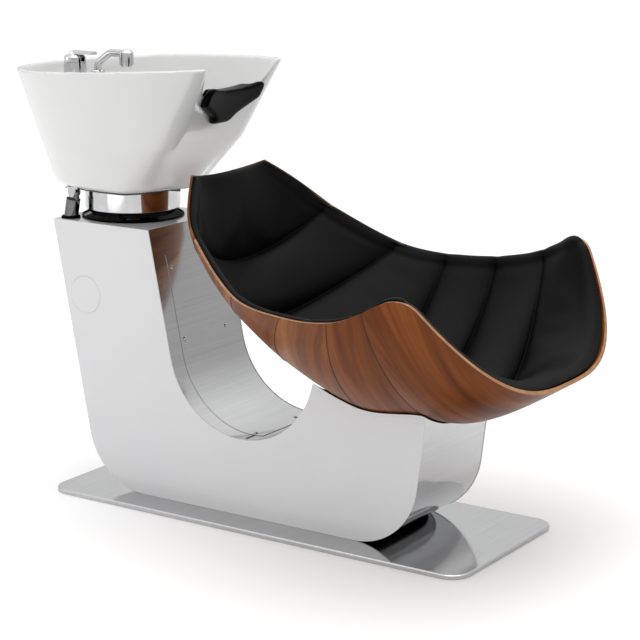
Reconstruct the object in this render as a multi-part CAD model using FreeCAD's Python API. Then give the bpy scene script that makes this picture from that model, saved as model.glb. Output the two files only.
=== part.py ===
# Hair washing bed: a steel pedestal carries a bent plywood lounge shell with a
# channelled cushion, and a tilting ceramic wash basin with its mixer and hand spray.
# Millimetres, +X towards the foot end, +Z up, origin on the floor under the base plate's centre.
import FreeCAD, Part
import math
import os

os.makedirs("parts", exist_ok=True)
V = FreeCAD.Vector

# Clearances
rest_gap = 0.3
overrun = 5.0
running_gap = 0.05

# Base plate
base_length = 1048.0
base_width = 410.0
base_thickness = 10.0
base_corner_radius = 45.0
base_bevel = 2.5
service_hole_length = 130.0
service_hole_width = 90.0
service_hole_x = -240.0
service_hole_corner = 12.0

# Pedestal casing
body_width = 265.0
panel_thickness = 2.5
skin_thickness = 1.5
skin_recess = 1.0
tower_height = 600.0
tower_rear_x = -552.0
tower_depth = 263.0
tower_rear_slope = 0.191
tower_front_slope = 0.204
lower_corner_radius = 150.0
gap_radius = 186.0
gap_floor_height = 178.0
front_face_x = 400.0
front_face_height = 295.0
front_face_slope = 0.125
crown_gap = 4.0
rear_limit = -700.0
front_limit = 500.0

# Flush round cap on the near side panel
cap_diameter = 82.0
cap_x = -466.0
cap_drop = 161.0
cap_z = tower_height - cap_drop
cap_gap = 0.4
cap_flange = 6.0
cap_flange_thickness = 1.2

# Curved access panel inside the gap
access_width = 176.0
access_thickness = 1.2
access_top_drop = 60.0
access_top_height = tower_height - access_top_drop
access_end_x = -25.0
access_margin = 14.0
screw_half_spacing = 74.0
screw_head_radius = 4.5
screw_head_height = 2.2
screw_shank_radius = 2.0
screw_shank_length = 8.0
screw_gap = 0.2
screw_seat_gap = 0.08
hexagon_sides = 6

# Steel frame inside the pedestal
post_size = 50.0
post_width = 36.0
post_wall = 3.0
post_half_spacing = 76.0
post_foot_x = -288.0
post_head_x = -452.0
sill_height = 40.0
sill_front_x = 205.0
head_plate_drop = 40.0
head_plate_height = tower_height - head_plate_drop
head_plate_thickness = 6.0
head_plate_hole_radius = 56.0
seat_post_x = 185.0
seat_post_length = 88.0
seat_post_width = 90.0
seat_post_wall = 4.0
seat_post_height = 190.0
saddle_rear_x = 135.0
saddle_front_x = 335.0
saddle_half_width = 62.0
saddle_rail_thickness = 8.0
saddle_plate_thickness = 8.0
seat_bolt_radius = 5.0
seat_bolt_head_radius = 9.0
seat_bolt_head_height = 6.5
seat_bolt_length = 26.0
seat_bolt_inset = 22.0

# Lounge shell: planar rib sections fan out from the head end to the foot lip
shell_back_x = -195.0
shell_length = 843.0
shell_keel_height = 252.0
shell_rise = 476.0
shell_half_width = 395.0
ply_thickness = 8.0
rim_flick_share = 0.10
rim_flick_power = 9.0
stave_steps = 3
tip_radius = 48.0
search_steps = 160
search_halvings = 40
# Each row: rim x, rim half width, rim height, keel x, keel height, section power
rib_shares = [
    (0.027, 0.337, 1.000, 0.000, 0.966, 2.0),
    (0.083, 0.527, 0.882, 0.018, 0.773, 2.0),
    (0.139, 0.633, 0.777, 0.053, 0.573, 1.9),
    (0.314, 0.823, 0.597, 0.172, 0.332, 1.6),
    (0.480, 0.916, 0.561, 0.273, 0.164, 1.6),
    (0.629, 0.987, 0.584, 0.492, 0.000, 1.6),
    (0.724, 1.000, 0.647, 0.688, 0.021, 1.7),
    (0.765, 0.975, 0.690, 0.825, 0.071, 2.3),
    (0.813, 0.932, 0.718, 1.000, 0.250, 3.0),
]
stave_ends = [(0, 2), (2, 3), (3, 4), (4, 5), (5, 6), (6, 8)]
section_shares = [-1.0, -0.94, -0.84, -0.7, -0.52, -0.34, -0.16, 0.0,
                  0.16, 0.34, 0.52, 0.7, 0.84, 0.94, 1.0]

# Cushion: panels between sewn channels, each channel in its own leaning plane
cushion_gap = 2.5
cushion_edge_thickness = 20.0
cushion_rim_rise = 3.0
cushion_crown = 13.0
cushion_power = 2.6
# Each pair: place across a panel and height of its crown there
cushion_crown_shares = [(0.0, 0.0), (0.22, 0.82), (0.5, 1.0), (0.78, 0.82), (1.0, 0.0)]
# Each row: centre x, centre height, rim x, rim height, all as shares of the shell
channel_shares = [
    (0.030, 0.972, 0.034, 0.990),
    (0.113, 0.700, 0.143, 0.773),
    (0.231, 0.447, 0.310, 0.600),
    (0.433, 0.237, 0.433, 0.568),
    (0.587, 0.164, 0.563, 0.573),
    (0.765, 0.153, 0.686, 0.643),
    (0.974, 0.255, 0.813, 0.706),
]

# Ceramic basin
basin_stand = 70.0
basin_height = 281.0
basin_knee_rise = 105.0
basin_floor_height = tower_height + basin_stand
basin_rim_height = basin_floor_height + basin_height
basin_knee_height = basin_floor_height + basin_knee_rise
basin_rim_fall = 0.05
basin_wall = 13.0
basin_extra = 14.0
bowl_floor_thickness = 32.0
bowl_height = basin_floor_height + bowl_floor_thickness
bowl_round = 36.0
bowl_floor_inset = 36.0
# Each pair: height and inset of the bowl's rounded floor, as shares of the two values above
bowl_round_shares = [(0.0, 1.0), (0.33, 0.5), (1.0, 0.125)]
hull_steps = 3
hull_taper = 0.08
hull_fullness = 0.55
basin_foot_radius = 13.0
foot_round_rise = 0.4
foot_round_inset = 0.3
basin_rear_x = -702.0
basin_foot_rear_x = -620.0
basin_wide_x = -430.0
basin_half_width = 240.0
basin_foot_half_width = 143.0
basin_front_x = -127.0
basin_front_half_width = 147.0
basin_knee_front_x = -228.0
basin_knee_half_width = 147.0
basin_foot_front_x = -300.0
basin_foot_front_half_width = 98.0
basin_wing_corner = 22.0
basin_knee_corner = 40.0
basin_foot_corner = 60.0
basin_wing_bow = -12.0
basin_knee_bow = -4.0
basin_foot_bow = 26.0
deck_drop = 66.0
deck_height = basin_rim_height - deck_drop
deck_front_x = -562.0
deck_rim_radius = 190.0
deck_foot_radius = 155.0
notch_run = 180.0
notch_half_width = 92.0
notch_mouth_half_width = 128.0
notch_corner_radius = 34.0

# Basin drain, mixer and spray holes
drain_radius = 22.0
drain_flange_radius = 32.0
drain_flange_thickness = 2.5
drain_bore_radius = 16.0
drain_neck_drop = 18.0
drain_neck_bottom = basin_floor_height - drain_neck_drop
drain_nut_radius = 31.0
drain_nut_height = 9.0
strainer_radius = 20.0
strainer_gap = 0.1
strainer_depth = 1.5
strainer_hole_radius = 1.9
# Each pair: ring radius as a share of the strainer's, and its number of holes
strainer_rings = [(0.0, 1), (0.38, 6), (0.72, 12)]
mixer_x = -596.0
mixer_y = 5.0
mixer_hole_radius = 17.0
spray_x = -604.0
spray_y = 92.0
spray_hole_radius = 14.0

# Tilt cup under the basin
cup_x = -435.0
cup_radius = 105.0
cup_wall = 2.0
cup_lift = 8.0
cup_bottom_height = tower_height + cup_lift
cup_chamfer = 13.0
gasket_gap = 3.5
gasket_width = 8.0
gasket_height = 7.0
pivot_rise = 22.0
pivot_height = tower_height + pivot_rise
pivot_radius = 7.0
carrier_thickness = 6.0
carrier_inset = 16.0
carrier_hole_radius = 40.0
hose_slot_length = 70.0
ear_inner_y = 66.4
ear_thickness = 8.0
ear_half_width = 18.0
yoke_inner_y = 58.0
yoke_thickness = 8.0
yoke_foot_thickness = 6.0
pin_head_radius = 11.0
pin_head_height = 4.0

# Telescopic tilt struts
strut_x = -526.0
strut_y = 104.0
strut_lean_x = 14.0
strut_pivot_drop = 22.0
strut_tube_radius = 15.5
strut_tube_lift = 1.5
strut_tube_bottom_height = tower_height + strut_tube_lift
strut_rod_radius = 11.0
strut_rod_head_gap = 36.0
strut_bore_head_gap = 21.0
strut_collar_gap = 2.5
strut_collar_radius = 21.0
strut_collar_height = 5.0
strut_eye_radius = 9.0
strut_eye_width = 12.0
strut_eye_drop = 14.0
strut_pin_radius = 5.0
strut_lug_thickness = 4.0
strut_lug_gap = 0.4
strut_top_gap = 1.0

# Waste and water
tail_radius = 16.0
tail_wall = 1.6
tail_drop = 34.0
tail_bottom_height = tower_height - tail_drop
tail_overlap = 8.0
boot_radius = 34.0
boot_wall = 3.0
boot_height = 52.0
boot_drop = 20.0
boot_bottom_height = head_plate_height - boot_drop
boot_flange_radius = 62.0
boot_flange_thickness = 3.0
waste_pipe_radius = 21.0
waste_spigot_radius = 20.0
spigot_length = 40.0
waste_pipe_wall = 2.0
trap_bend_radius = 40.0
trap_bottom_height = 330.0
trap_top_height = 440.0
hose_radius = 5.5
supply_spigot_radius = 5.0
hose_gap = 2.5
bend_share = 0.98
bracket_height = 96.0
hose_bend = 14.0
valve_boss_radius = 7.0
valve_boss_length = 6.0
valve_nut_extra = 3.0
valve_nut_height = 10.0
valve_height = 150.0
valve_y = 31.0
valve_x = -210.0
valve_body_radius = 11.0
valve_body_length = 44.0
valve_handle_radius = 9.0
valve_handle_length = 34.0
valve_handle_thickness = 7.0
valve_stem_radius = 4.0
valve_stem_length = 8.0
clip_wall = 2.0

# Mixer
mixer_base_radius = 27.5
mixer_base_height = 4.0
mixer_body_radius = 25.0
mixer_body_height = 42.0
mixer_shank_radius = 16.0
mixer_shank_drop = 32.0
mixer_nut_radius = 20.5
mixer_nut_height = 8.0
mixer_cap_radius = 24.0
mixer_cap_height = 15.0
mixer_cap_bevel = 4.0
mixer_spigot_radius = 12.0
mixer_spigot_drop = 14.0
lever_length = 66.0
lever_width = 26.0
lever_tail = 8.0
lever_tip_width = 20.0
lever_thickness = 6.0
lever_gap = 3.0
lever_hub_radius = 6.5
lever_hub_width = 13.0
lever_pin_radius = 2.0
lever_neck = 4.5
lever_corner_radius = 6.0

# Hand spray
spray_holder_radius = 16.0
spray_holder_height = 16.0
spray_shank_radius = 13.0
spray_shank_drop = 26.0
spray_nut_radius = 20.0
spray_arm_radius = 8.5
spray_head_radius = 16.0
spray_face_radius = 13.0
spray_rise = 40.0
spray_reach = 84.0
spray_bend_radius = 24.0
spray_start_share = 0.35
spray_bend_share = 0.45
spray_head_height = 32.0
spray_drop = 20.0
spray_hose_drop = 63.0
spray_hose_bottom = deck_height - spray_hose_drop
spray_outlet_offset = 11.5

# Neck rest
neck_half_width = 100.0
neck_hook_half_width = 68.0
neck_tongue_half_width = 44.0
neck_tongue_drop = 131.0
neck_tongue_height = basin_rim_height - neck_tongue_drop
neck_shoulder_drop = 83.0
neck_shoulder_height = basin_rim_height - neck_shoulder_drop
neck_end_drop = 45.0
neck_end_height = basin_rim_height - neck_end_drop
neck_dip = 10.0
neck_thickness = 20.0
neck_gap = 0.4
neck_hook_gap = 1.2
neck_leg_thickness = 10.0
neck_leg_drop = 14.0
neck_corner_radius = 18.0
neck_dip_share = 0.7
neck_cover_thickness = 1.0

# Supply hose route from the valve up to the mixer
hose_foot_rise = 33.0
hose_plate_drop = 45.0
hose_basin_rise = 11.0
hose_end_gap = 0.5
hose_foot_height = valve_height + valve_body_length / 2
hose_basin_height = basin_floor_height + hose_basin_rise
hose_end_height = deck_height - mixer_shank_drop - hose_end_gap
# Each row: x, y and height of the supply hose, mirrored for the other one
hose_points = [(valve_x, valve_y, hose_foot_height), (valve_x, valve_y, hose_foot_height + hose_foot_rise),
               (-475.0, 28.0, head_plate_height - hose_plate_drop), (-475.0, 28.0, hose_basin_height),
               (-592.0, 14.0, hose_basin_height), (-599.0, 12.0, hose_end_height)]


def save(name, shape):
    shape.exportStep("parts/" + name + ".step")
    print(name, len(shape.Solids), "solids", round(shape.Volume / 1000.0, 1), "cm3", shape.isValid())


def box(x0, x1, y0, y1, z0, z1):
    return Part.makeBox(x1 - x0, y1 - y0, z1 - z0, V(x0, y0, z0))


def rod(centre, radius, length, axis=V(0, 0, 1)):
    return Part.makeCylinder(radius, length, centre, axis)


def both_sides(shape):
    return Part.makeCompound([shape, shape.mirror(V(0, 0, 0), V(0, 1, 0))])


def prism_xz(wire, y0, y1):
    # A closed wire in the XZ plane becomes a slab from y0 to y1
    slab = Part.Face(wire).extrude(V(0, y1 - y0, 0))
    slab.translate(V(0, y0, 0))
    return slab


def polyline(points):
    return Part.makePolygon(points + [points[0]])


def spline(points, parameters=None):
    curve = Part.BSplineCurve()
    if parameters is None:
        curve.interpolate(Points=points)
    else:
        curve.interpolate(Points=points, Parameters=parameters)
    return curve.toShape()


def rounded_rectangle(cx, cy, length, width, radius, z, height):
    block = box(cx - length / 2, cx + length / 2, cy - width / 2, cy + width / 2, z, z + height)
    uprights = [e for e in block.Edges if e.Vertexes[0].X == e.Vertexes[1].X
                and e.Vertexes[0].Y == e.Vertexes[1].Y]
    return block.makeFillet(radius, uprights)


# Shell surface

def rib(station):
    # Rim x, rim half width, rim height, keel x, keel height and power at any place between two ribs
    last = len(rib_shares) - 1
    low = min(int(station), last - 1)
    part = station - low
    rows = [rib_shares[min(max(low + step, 0), last)] for step in (-1, 0, 1, 2)]
    row = [smooth_between(values, part) for values in zip(*rows)]
    return (shell_back_x + row[0] * shell_length, row[1] * shell_half_width,
            shell_keel_height + row[2] * shell_rise,
            shell_back_x + row[3] * shell_length, shell_keel_height + row[4] * shell_rise, row[5])


def smooth_between(values, part):
    # Cubic curve through four evenly spaced values, between the middle two
    before, first, second, after = values
    slope_in = (second - before) / 2
    slope_out = (after - first) / 2
    step = second - first
    return (first + slope_in * part + (3 * step - 2 * slope_in - slope_out) * part ** 2
            + (slope_in + slope_out - 2 * step) * part ** 3)


def section_rise(share, power):
    share = abs(share)
    return (1 - rim_flick_share) * share ** power + rim_flick_share * share ** rim_flick_power


def shell_point(station, share, inset):
    rim_x, rim_y, rim_z, keel_x, keel_z, power = rib(station)
    run = math.hypot(rim_x - keel_x, rim_z - keel_z)
    keel_x += (rim_x - keel_x) * inset / run
    keel_z += (rim_z - keel_z) * inset / run
    rise = section_rise(share, power)
    return V(keel_x + (rim_x - keel_x) * rise, (rim_y - inset) * share, keel_z + (rim_z - keel_z) * rise)


def shell_curve(station, inset):
    points = [shell_point(station, share, inset) for share in section_shares]
    return spline(points, section_shares)


def shell_hit(origin, normal, y, inset):
    # Where the shell surface at width y crosses a plane that is square to the XZ plane
    last = len(rib_shares) - 1
    found = None
    previous = None
    for step in range(search_steps + 1):
        station = last * step / search_steps
        half = rib(station)[1] - inset
        if abs(y) > half:
            previous = None
            continue
        point = shell_point(station, y / half, inset)
        side = (point - origin).dot(normal)
        if previous is not None and side * previous[1] <= 0 and side != previous[1]:
            weight = previous[1] / (previous[1] - side)
            candidate = previous[0] + (point - previous[0]) * weight
            if found is None or candidate.z < found.z:
                found = candidate
        previous = (point, side)
    return found


def stave(first, last):
    # One bent plywood stave between two ribs
    wires = []
    for step in range(stave_steps + 1):
        station = first + (last - first) * step / stave_steps
        outer = shell_curve(station, 0)
        inner = shell_curve(station, ply_thickness)
        starts = [edge.valueAt(edge.FirstParameter) for edge in (outer, inner)]
        ends = [edge.valueAt(edge.LastParameter) for edge in (outer, inner)]
        wires.append(Part.Wire([outer, Part.makeLine(ends[0], ends[1]), inner,
                                Part.makeLine(starts[1], starts[0])]))
    return Part.makeLoft(wires, True, False)


def tip_cutter(rise):
    # What rounds off both front tips of the shell, seen from the side
    last = len(rib_shares) - 1
    rim_x, rim_y, rim_z, keel_x, keel_z, power = rib(last)
    before_x, before_y, before_z = rib(last - 1)[:3]
    back = V(before_x - rim_x, 0, before_z - rim_z).normalize()
    down = V(keel_x - rim_x, 0, keel_z - rim_z).normalize()
    inward = (back + down).normalize()
    half_angle = back.getAngle(down) / 2
    tip = V(rim_x, 0, rim_z) - inward * (rise / math.sin(half_angle))
    run = tip_radius / math.tan(half_angle)
    start = tip + back * run
    end = tip + down * run
    middle = tip + inward * (tip_radius / math.sin(half_angle) - tip_radius)
    far_start = start - inward * run
    far_end = end - inward * run
    edges = [Part.Arc(start, middle, end).toShape(), Part.makeLine(end, far_end),
             Part.makeLine(far_end, far_start), Part.makeLine(far_start, start)]
    return prism_xz(Part.Wire(edges), -shell_half_width, shell_half_width)


def shell_void(first, last, gap):
    # What the shell fills, grown outwards by a gap, for cutting the pieces that carry it
    wires = []
    for step in range(stave_steps + 1):
        outer = shell_curve(first + (last - first) * step / stave_steps, -gap)
        wires.append(Part.Wire([outer, Part.makeLine(outer.valueAt(outer.LastParameter),
                                                     outer.valueAt(outer.FirstParameter))]))
    return Part.makeLoft(wires, True, False)


# Cushion

def channel_plane(row):
    centre = V(shell_back_x + row[0] * shell_length, 0, shell_keel_height + row[1] * shell_rise)
    rim = V(shell_back_x + row[2] * shell_length, 0, shell_keel_height + row[3] * shell_rise)
    return centre, rim


def cushion_section(row, lift):
    # A closed planar section: the shell's inner face below, the stuffed top above
    centre, rim = channel_plane(row)
    along = (rim - centre).normalize()
    normal = along.cross(V(0, 1, 0))
    inset = ply_thickness + cushion_gap
    wide = rim_half_width(centre, normal, inset)
    under = []
    for share in section_shares:
        half = wide * share
        under.append(shell_hit(centre, normal, half, inset))
    rim_level = (under[-1] - centre).dot(along) + cushion_rim_rise
    under = [point + along * (cushion_rim_rise * abs(share) ** rim_flick_power)
             for point, share in zip(under, section_shares)]
    top = []
    for share in section_shares:
        rise = rim_level * abs(share) ** cushion_power + lift * (1 - abs(share) ** cushion_power)
        top.append(centre + along * rise + V(0, share * (wide - cushion_edge_thickness), 0))
    low = spline(under, section_shares)
    high = spline(top, section_shares)
    return Part.Wire([low, Part.makeLine(under[-1], top[-1]), high, Part.makeLine(top[0], under[0])])


def rim_half_width(centre, normal, inset):
    # The half width at which the plane still meets the shell, by halving
    low = 0
    high = shell_half_width
    for halving in range(search_halvings):
        middle = (low + high) / 2
        if shell_hit(centre, normal, middle, inset) is None:
            high = middle
        else:
            low = middle
    return low


def row_between(first, second, share):
    return [a + (b - a) * share for a, b in zip(first, second)]


def cushion_panel(number, staves):
    # Bedded on the staves under it
    first = channel_shares[number]
    second = channel_shares[number + 1]
    wires = [cushion_section(row_between(first, second, share), cushion_crown * lift)
             for share, lift in cushion_crown_shares]
    return cut_all(Part.makeLoft(wires, True, False), staves[max(number - 1, 0):number + 2])


# Pedestal outline

def slope_length(slope):
    return math.hypot(1, slope)


corner_centre_height = base_thickness + lower_corner_radius
rear_corner_x = (tower_rear_x + tower_rear_slope * (tower_height - corner_centre_height)
                 + lower_corner_radius * slope_length(tower_rear_slope))
front_corner_x = (front_face_x - front_face_slope * (front_face_height - corner_centre_height)
                  - lower_corner_radius * slope_length(front_face_slope))
tower_front_x = tower_rear_x + tower_depth
gap_centre_height = gap_floor_height + gap_radius
gap_centre_x = (tower_front_x + tower_front_slope * (tower_height - gap_centre_height)
                + gap_radius * slope_length(tower_front_slope))
crown_height = gap_centre_height
body_half = body_width / 2
inner_half = body_half - panel_thickness


def xz(x, z):
    return V(x, 0, z)


def arc(first, middle, last):
    return Part.Arc(first, middle, last).toShape()


def outline(inset, top_extra=0):
    # The pedestal's closed side profile, moved inwards by an inset
    radius = lower_corner_radius - inset
    gap = gap_radius + inset
    top = tower_height + top_extra
    crown = crown_height + overrun + top_extra
    rear = xz(rear_corner_x, corner_centre_height)
    front = xz(front_corner_x, corner_centre_height)
    hollow = xz(gap_centre_x, gap_centre_height)
    rear_normal = xz(-1, -tower_rear_slope).normalize()
    front_normal = xz(1, -front_face_slope).normalize()
    tower_normal = xz(-1, -tower_front_slope).normalize()
    down = xz(0, -1)
    ahead = xz(1, 0)
    rear_shift = inset * slope_length(tower_rear_slope)
    tower_shift = inset * slope_length(tower_front_slope)
    front_shift = inset * slope_length(front_face_slope)
    rear_top = xz(tower_rear_x - tower_rear_slope * top_extra + rear_shift, top)
    tower_top = xz(tower_front_x - tower_front_slope * top_extra - tower_shift, top)
    front_top = xz(front_face_x + front_face_slope * (crown - front_face_height) - front_shift, crown)
    lobe_rear = hollow + ahead * gap
    rear_side = rear + rear_normal * radius
    rear_under = rear + down * radius
    front_under = front + down * radius
    front_side = front + front_normal * radius
    tower_side = hollow + tower_normal * gap
    edges = [
        Part.makeLine(rear_top, rear_side),
        arc(rear_side, rear + (rear_normal + down).normalize() * radius, rear_under),
        Part.makeLine(rear_under, front_under),
        arc(front_under, front + (front_normal + down).normalize() * radius, front_side),
        Part.makeLine(front_side, front_top),
        Part.makeLine(front_top, xz(lobe_rear.x, crown)),
        Part.makeLine(xz(lobe_rear.x, crown), lobe_rear),
        arc(lobe_rear, hollow + (ahead + tower_normal + down + down).normalize() * gap, tower_side),
        Part.makeLine(tower_side, tower_top),
        Part.makeLine(tower_top, rear_top),
    ]
    return Part.Wire(edges)


crown_tools = [shell_void(first, last, crown_gap) for first, last in stave_ends[2:]]
seat_tools = [shell_void(first, last, rest_gap) for first, last in stave_ends[2:]]


def crown_cut(shape):
    for tool in crown_tools:
        shape = shape.cut(tool)
    return shape


def side_panel(side):
    low = inner_half if side > 0 else -body_half
    return crown_cut(prism_xz(outline(0), low, low + panel_thickness))


def cap_hole():
    return rod(V(cap_x, -body_half - overrun, cap_z), cap_diameter / 2 + cap_gap,
               panel_thickness + 2 * overrun, V(0, 1, 0))


def side_cap():
    # A disc flush with the panel, held by a flange behind it
    disc = rod(V(cap_x, -body_half, cap_z), cap_diameter / 2, panel_thickness, V(0, 1, 0))
    flange = rod(V(cap_x, -inner_half, cap_z), cap_diameter / 2 + cap_flange, cap_flange_thickness,
                 V(0, 1, 0))
    return disc.fuse(flange).removeSplitter()


def wrap():
    outer = prism_xz(outline(skin_recess), -inner_half, inner_half)
    hollow = prism_xz(outline(skin_recess + skin_thickness, overrun), -inner_half, inner_half)
    return outer.cut(hollow)


def cover(shape, x0, x1, z0, z1):
    return crown_cut(shape.common(box(x0, x1, -body_half, body_half, z0, z1)))


def tower_line_x(height, inset):
    # The tower's front face at a height
    return (tower_front_x + tower_front_slope * (tower_height - height)
            - inset * slope_length(tower_front_slope))


def tower_rear_line_x(height, inset):
    return (tower_rear_x + tower_rear_slope * (tower_height - height)
            + inset * slope_length(tower_rear_slope))


def gap_point(height):
    # A point of the tower's front or of the gap's curve, with the normal into the open gap
    tangent = gap_centre_height - gap_radius * tower_front_slope / slope_length(tower_front_slope)
    if height > tangent:
        return xz(tower_line_x(height, skin_recess), height), xz(1, tower_front_slope).normalize()
    drop = gap_centre_height - height
    radius = gap_radius + skin_recess
    point = xz(gap_centre_x - math.sqrt(radius ** 2 - drop ** 2), height)
    return point, (xz(gap_centre_x, gap_centre_height) - point).normalize()


def gap_floor_point(x):
    radius = gap_radius + skin_recess
    height = gap_centre_height - math.sqrt(radius ** 2 - (gap_centre_x - x) ** 2)
    point = xz(x, height)
    return point, (xz(gap_centre_x, gap_centre_height) - point).normalize()


def access_screw_places():
    upper = gap_point(access_top_height - 2 * access_margin)
    middle = gap_point((access_top_height + gap_floor_height) / 2)
    lower = gap_floor_point(access_end_x - 2 * access_margin)
    return [(point + V(0, side * screw_half_spacing, 0), normal)
            for point, normal in (upper, middle, lower) for side in (-1, 1)]


def screw_shanks(radius):
    return [rod(point - normal * screw_shank_length, radius, screw_shank_length + access_thickness, normal)
            for point, normal in access_screw_places()]


def access_panel():
    sheet = prism_xz(outline(skin_recess - access_thickness), -access_width / 2, access_width / 2)
    sheet = sheet.cut(prism_xz(outline(skin_recess), -body_half, body_half))
    sheet = sheet.common(box(tower_front_x, access_end_x, -body_half, body_half,
                             corner_centre_height, access_top_height))
    return cut_all(sheet, screw_shanks(screw_shank_radius + screw_gap))


def access_screws():
    screws = []
    for point, normal in access_screw_places():
        seat = point + normal * (access_thickness + screw_seat_gap)
        shank = rod(seat - normal * screw_shank_length, screw_shank_radius,
                    screw_shank_length + screw_head_height / 2, normal)
        head = rod(seat, screw_head_radius, screw_head_height, normal)
        rim = [edge for edge in head.Edges if len(edge.Vertexes) == 1
               and (edge.Vertexes[0].Point - seat).dot(normal) > screw_head_height / 2]
        screws.append(head.makeChamfer(screw_head_height / 2, rim).fuse(shank))
    return Part.makeCompound(screws)


def cut_all(shape, tools):
    for tool in tools:
        shape = shape.cut(tool)
    return shape


# Pedestal plates and frame

def base_plate():
    plate = rounded_rectangle(0, 0, base_length, base_width, base_corner_radius, 0, base_thickness)
    top_edges = [e for e in plate.Edges if min(v.Z for v in e.Vertexes) > base_thickness / 2]
    plate = plate.makeChamfer(base_bevel, top_edges)
    return plate.cut(rounded_rectangle(service_hole_x, 0, service_hole_length, service_hole_width,
                                       service_hole_corner, -overrun, base_thickness + 2 * overrun))


cup_hole_radius = cup_radius + gasket_gap
yoke_foot_bottom = head_plate_height + head_plate_thickness
carrier_bottom = basin_floor_height - carrier_thickness
strut_slope = strut_lean_x / (basin_floor_height - tower_height)
strut_top_height = basin_floor_height - strut_eye_drop
strut_top = V(strut_x + strut_slope * (strut_top_height - tower_height), strut_y, strut_top_height)
strut_foot_height = tower_height - strut_pivot_drop
strut_foot = V(strut_x - strut_slope * strut_pivot_drop, strut_y, strut_foot_height)
strut_axis = (strut_top - strut_foot).normalize()
collar_hole_radius = strut_tube_radius + strut_collar_gap


def top_plate(low, high, inset):
    # A plate across the tower's top with the cup's hole and the struts' holes
    corners = [xz(tower_rear_line_x(low, inset), low), xz(tower_line_x(low, inset), low),
               xz(tower_line_x(high, inset), high), xz(tower_rear_line_x(high, inset), high)]
    plate = prism_xz(polyline(corners), -inner_half, inner_half)
    plate = plate.cut(rod(V(cup_x, 0, low - overrun), cup_hole_radius, high - low + 2 * overrun))
    holes = both_sides(rod(V(strut_x, strut_y, low - overrun), collar_hole_radius,
                           high - low + 2 * overrun))
    return plate.cut(holes)


def post(side):
    # A leaning square tube from the sill to the head plate
    foot = base_thickness + sill_height
    head = head_plate_height
    middle = side * post_half_spacing
    tube = leaning_slab(post_foot_x, post_head_x, foot, head, post_size, middle, post_width)
    bore = leaning_slab(post_foot_x + post_wall, post_head_x + post_wall, foot, head,
                        post_size - 2 * post_wall, middle, post_width - 2 * post_wall)
    return tube.cut(bore)


def leaning_slab(foot_x, head_x, foot, head, length, middle, width):
    corners = [xz(foot_x, foot), xz(foot_x + length, foot), xz(head_x + length, head), xz(head_x, head)]
    return prism_xz(polyline(corners), middle - width / 2, middle + width / 2)


def sill(side):
    middle = side * post_half_spacing
    top = base_thickness + sill_height
    bar = box(post_foot_x, sill_front_x, middle - post_width / 2, middle + post_width / 2,
              base_thickness, top)
    return bar.cut(box(post_foot_x + post_wall, sill_front_x - post_wall, middle - post_width / 2 + post_wall,
                       middle + post_width / 2 - post_wall, base_thickness, top - post_wall))


def seat_post():
    low = base_thickness
    high = seat_post_height
    outer = box(seat_post_x - seat_post_length / 2, seat_post_x + seat_post_length / 2,
                -seat_post_width / 2, seat_post_width / 2, low, high)
    wall = seat_post_wall
    bore = box(seat_post_x - seat_post_length / 2 + wall, seat_post_x + seat_post_length / 2 - wall,
               -seat_post_width / 2 + wall, seat_post_width / 2 - wall, low, high - saddle_plate_thickness)
    return cut_all(outer.cut(bore), seat_bolt_shanks(seat_bolt_radius + screw_gap))


def seat_bolt_places():
    return [(seat_post_x + side_x * (seat_post_length / 2 - seat_bolt_inset),
             side_y * (seat_post_width / 2 - seat_bolt_inset)) for side_x in (-1, 1) for side_y in (-1, 1)]


def seat_bolt_shanks(radius):
    low = seat_post_height - seat_bolt_length
    length = seat_bolt_length + saddle_plate_thickness
    return [rod(V(x, y, low), radius, length) for x, y in seat_bolt_places()]


def seat_bolts():
    bolts = []
    for x, y in seat_bolt_places():
        seat = seat_post_height + saddle_plate_thickness
        shank = rod(V(x, y, seat - seat_bolt_length), seat_bolt_radius, seat_bolt_length)
        bolts.append(shank.fuse(hexagon(x, y, seat, seat_bolt_head_radius, seat_bolt_head_height)))
    return Part.makeCompound(bolts)


def hexagon(x, y, z, radius, height):
    turns = [math.tau * n / hexagon_sides for n in range(hexagon_sides)]
    corners = [V(x + radius * math.cos(turn), y + radius * math.sin(turn), z) for turn in turns]
    return Part.Face(polyline(corners)).extrude(V(0, 0, height))


def seat_saddle():
    # A channel whose two rails follow the shell's underside
    rails = box(saddle_rear_x, saddle_front_x, -saddle_half_width, saddle_half_width,
                seat_post_height, crown_height)
    rails = rails.cut(box(saddle_rear_x - overrun, saddle_front_x + overrun,
                          -saddle_half_width + saddle_rail_thickness,
                          saddle_half_width - saddle_rail_thickness,
                          seat_post_height + saddle_plate_thickness, crown_height + overrun))
    rails = cut_all(rails, seat_tools)
    return cut_all(rails, seat_bolt_shanks(seat_bolt_radius + screw_gap))


# Basin

basin_span = basin_rim_height - basin_floor_height


def mix(first, second, share):
    return first + (second - first) * share


def basin_level(z):
    # Rear x, wide x, half width, front x, front half width, corner and bow of a level section
    share = (z - basin_floor_height) / basin_span
    rear = mix(basin_foot_rear_x, basin_rear_x, share)
    half = mix(basin_foot_half_width, basin_half_width, share)
    if z < basin_knee_height:
        part = (z - basin_floor_height) / (basin_knee_height - basin_floor_height)
        front = mix(basin_foot_front_x, basin_knee_front_x, part)
        front_half = mix(basin_foot_front_half_width, basin_knee_half_width, part)
        corner = mix(basin_foot_corner, basin_knee_corner, part)
        bow = mix(basin_foot_bow, basin_knee_bow, part)
    else:
        part = (z - basin_knee_height) / (basin_rim_height - basin_knee_height)
        front = mix(basin_knee_front_x, basin_front_x, part)
        front_half = mix(basin_knee_half_width, basin_front_half_width, part)
        corner = mix(basin_knee_corner, basin_wing_corner, part)
        bow = mix(basin_knee_bow, basin_wing_bow, part)
    return [rear, basin_wide_x, half, front, front_half, corner, bow]


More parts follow.
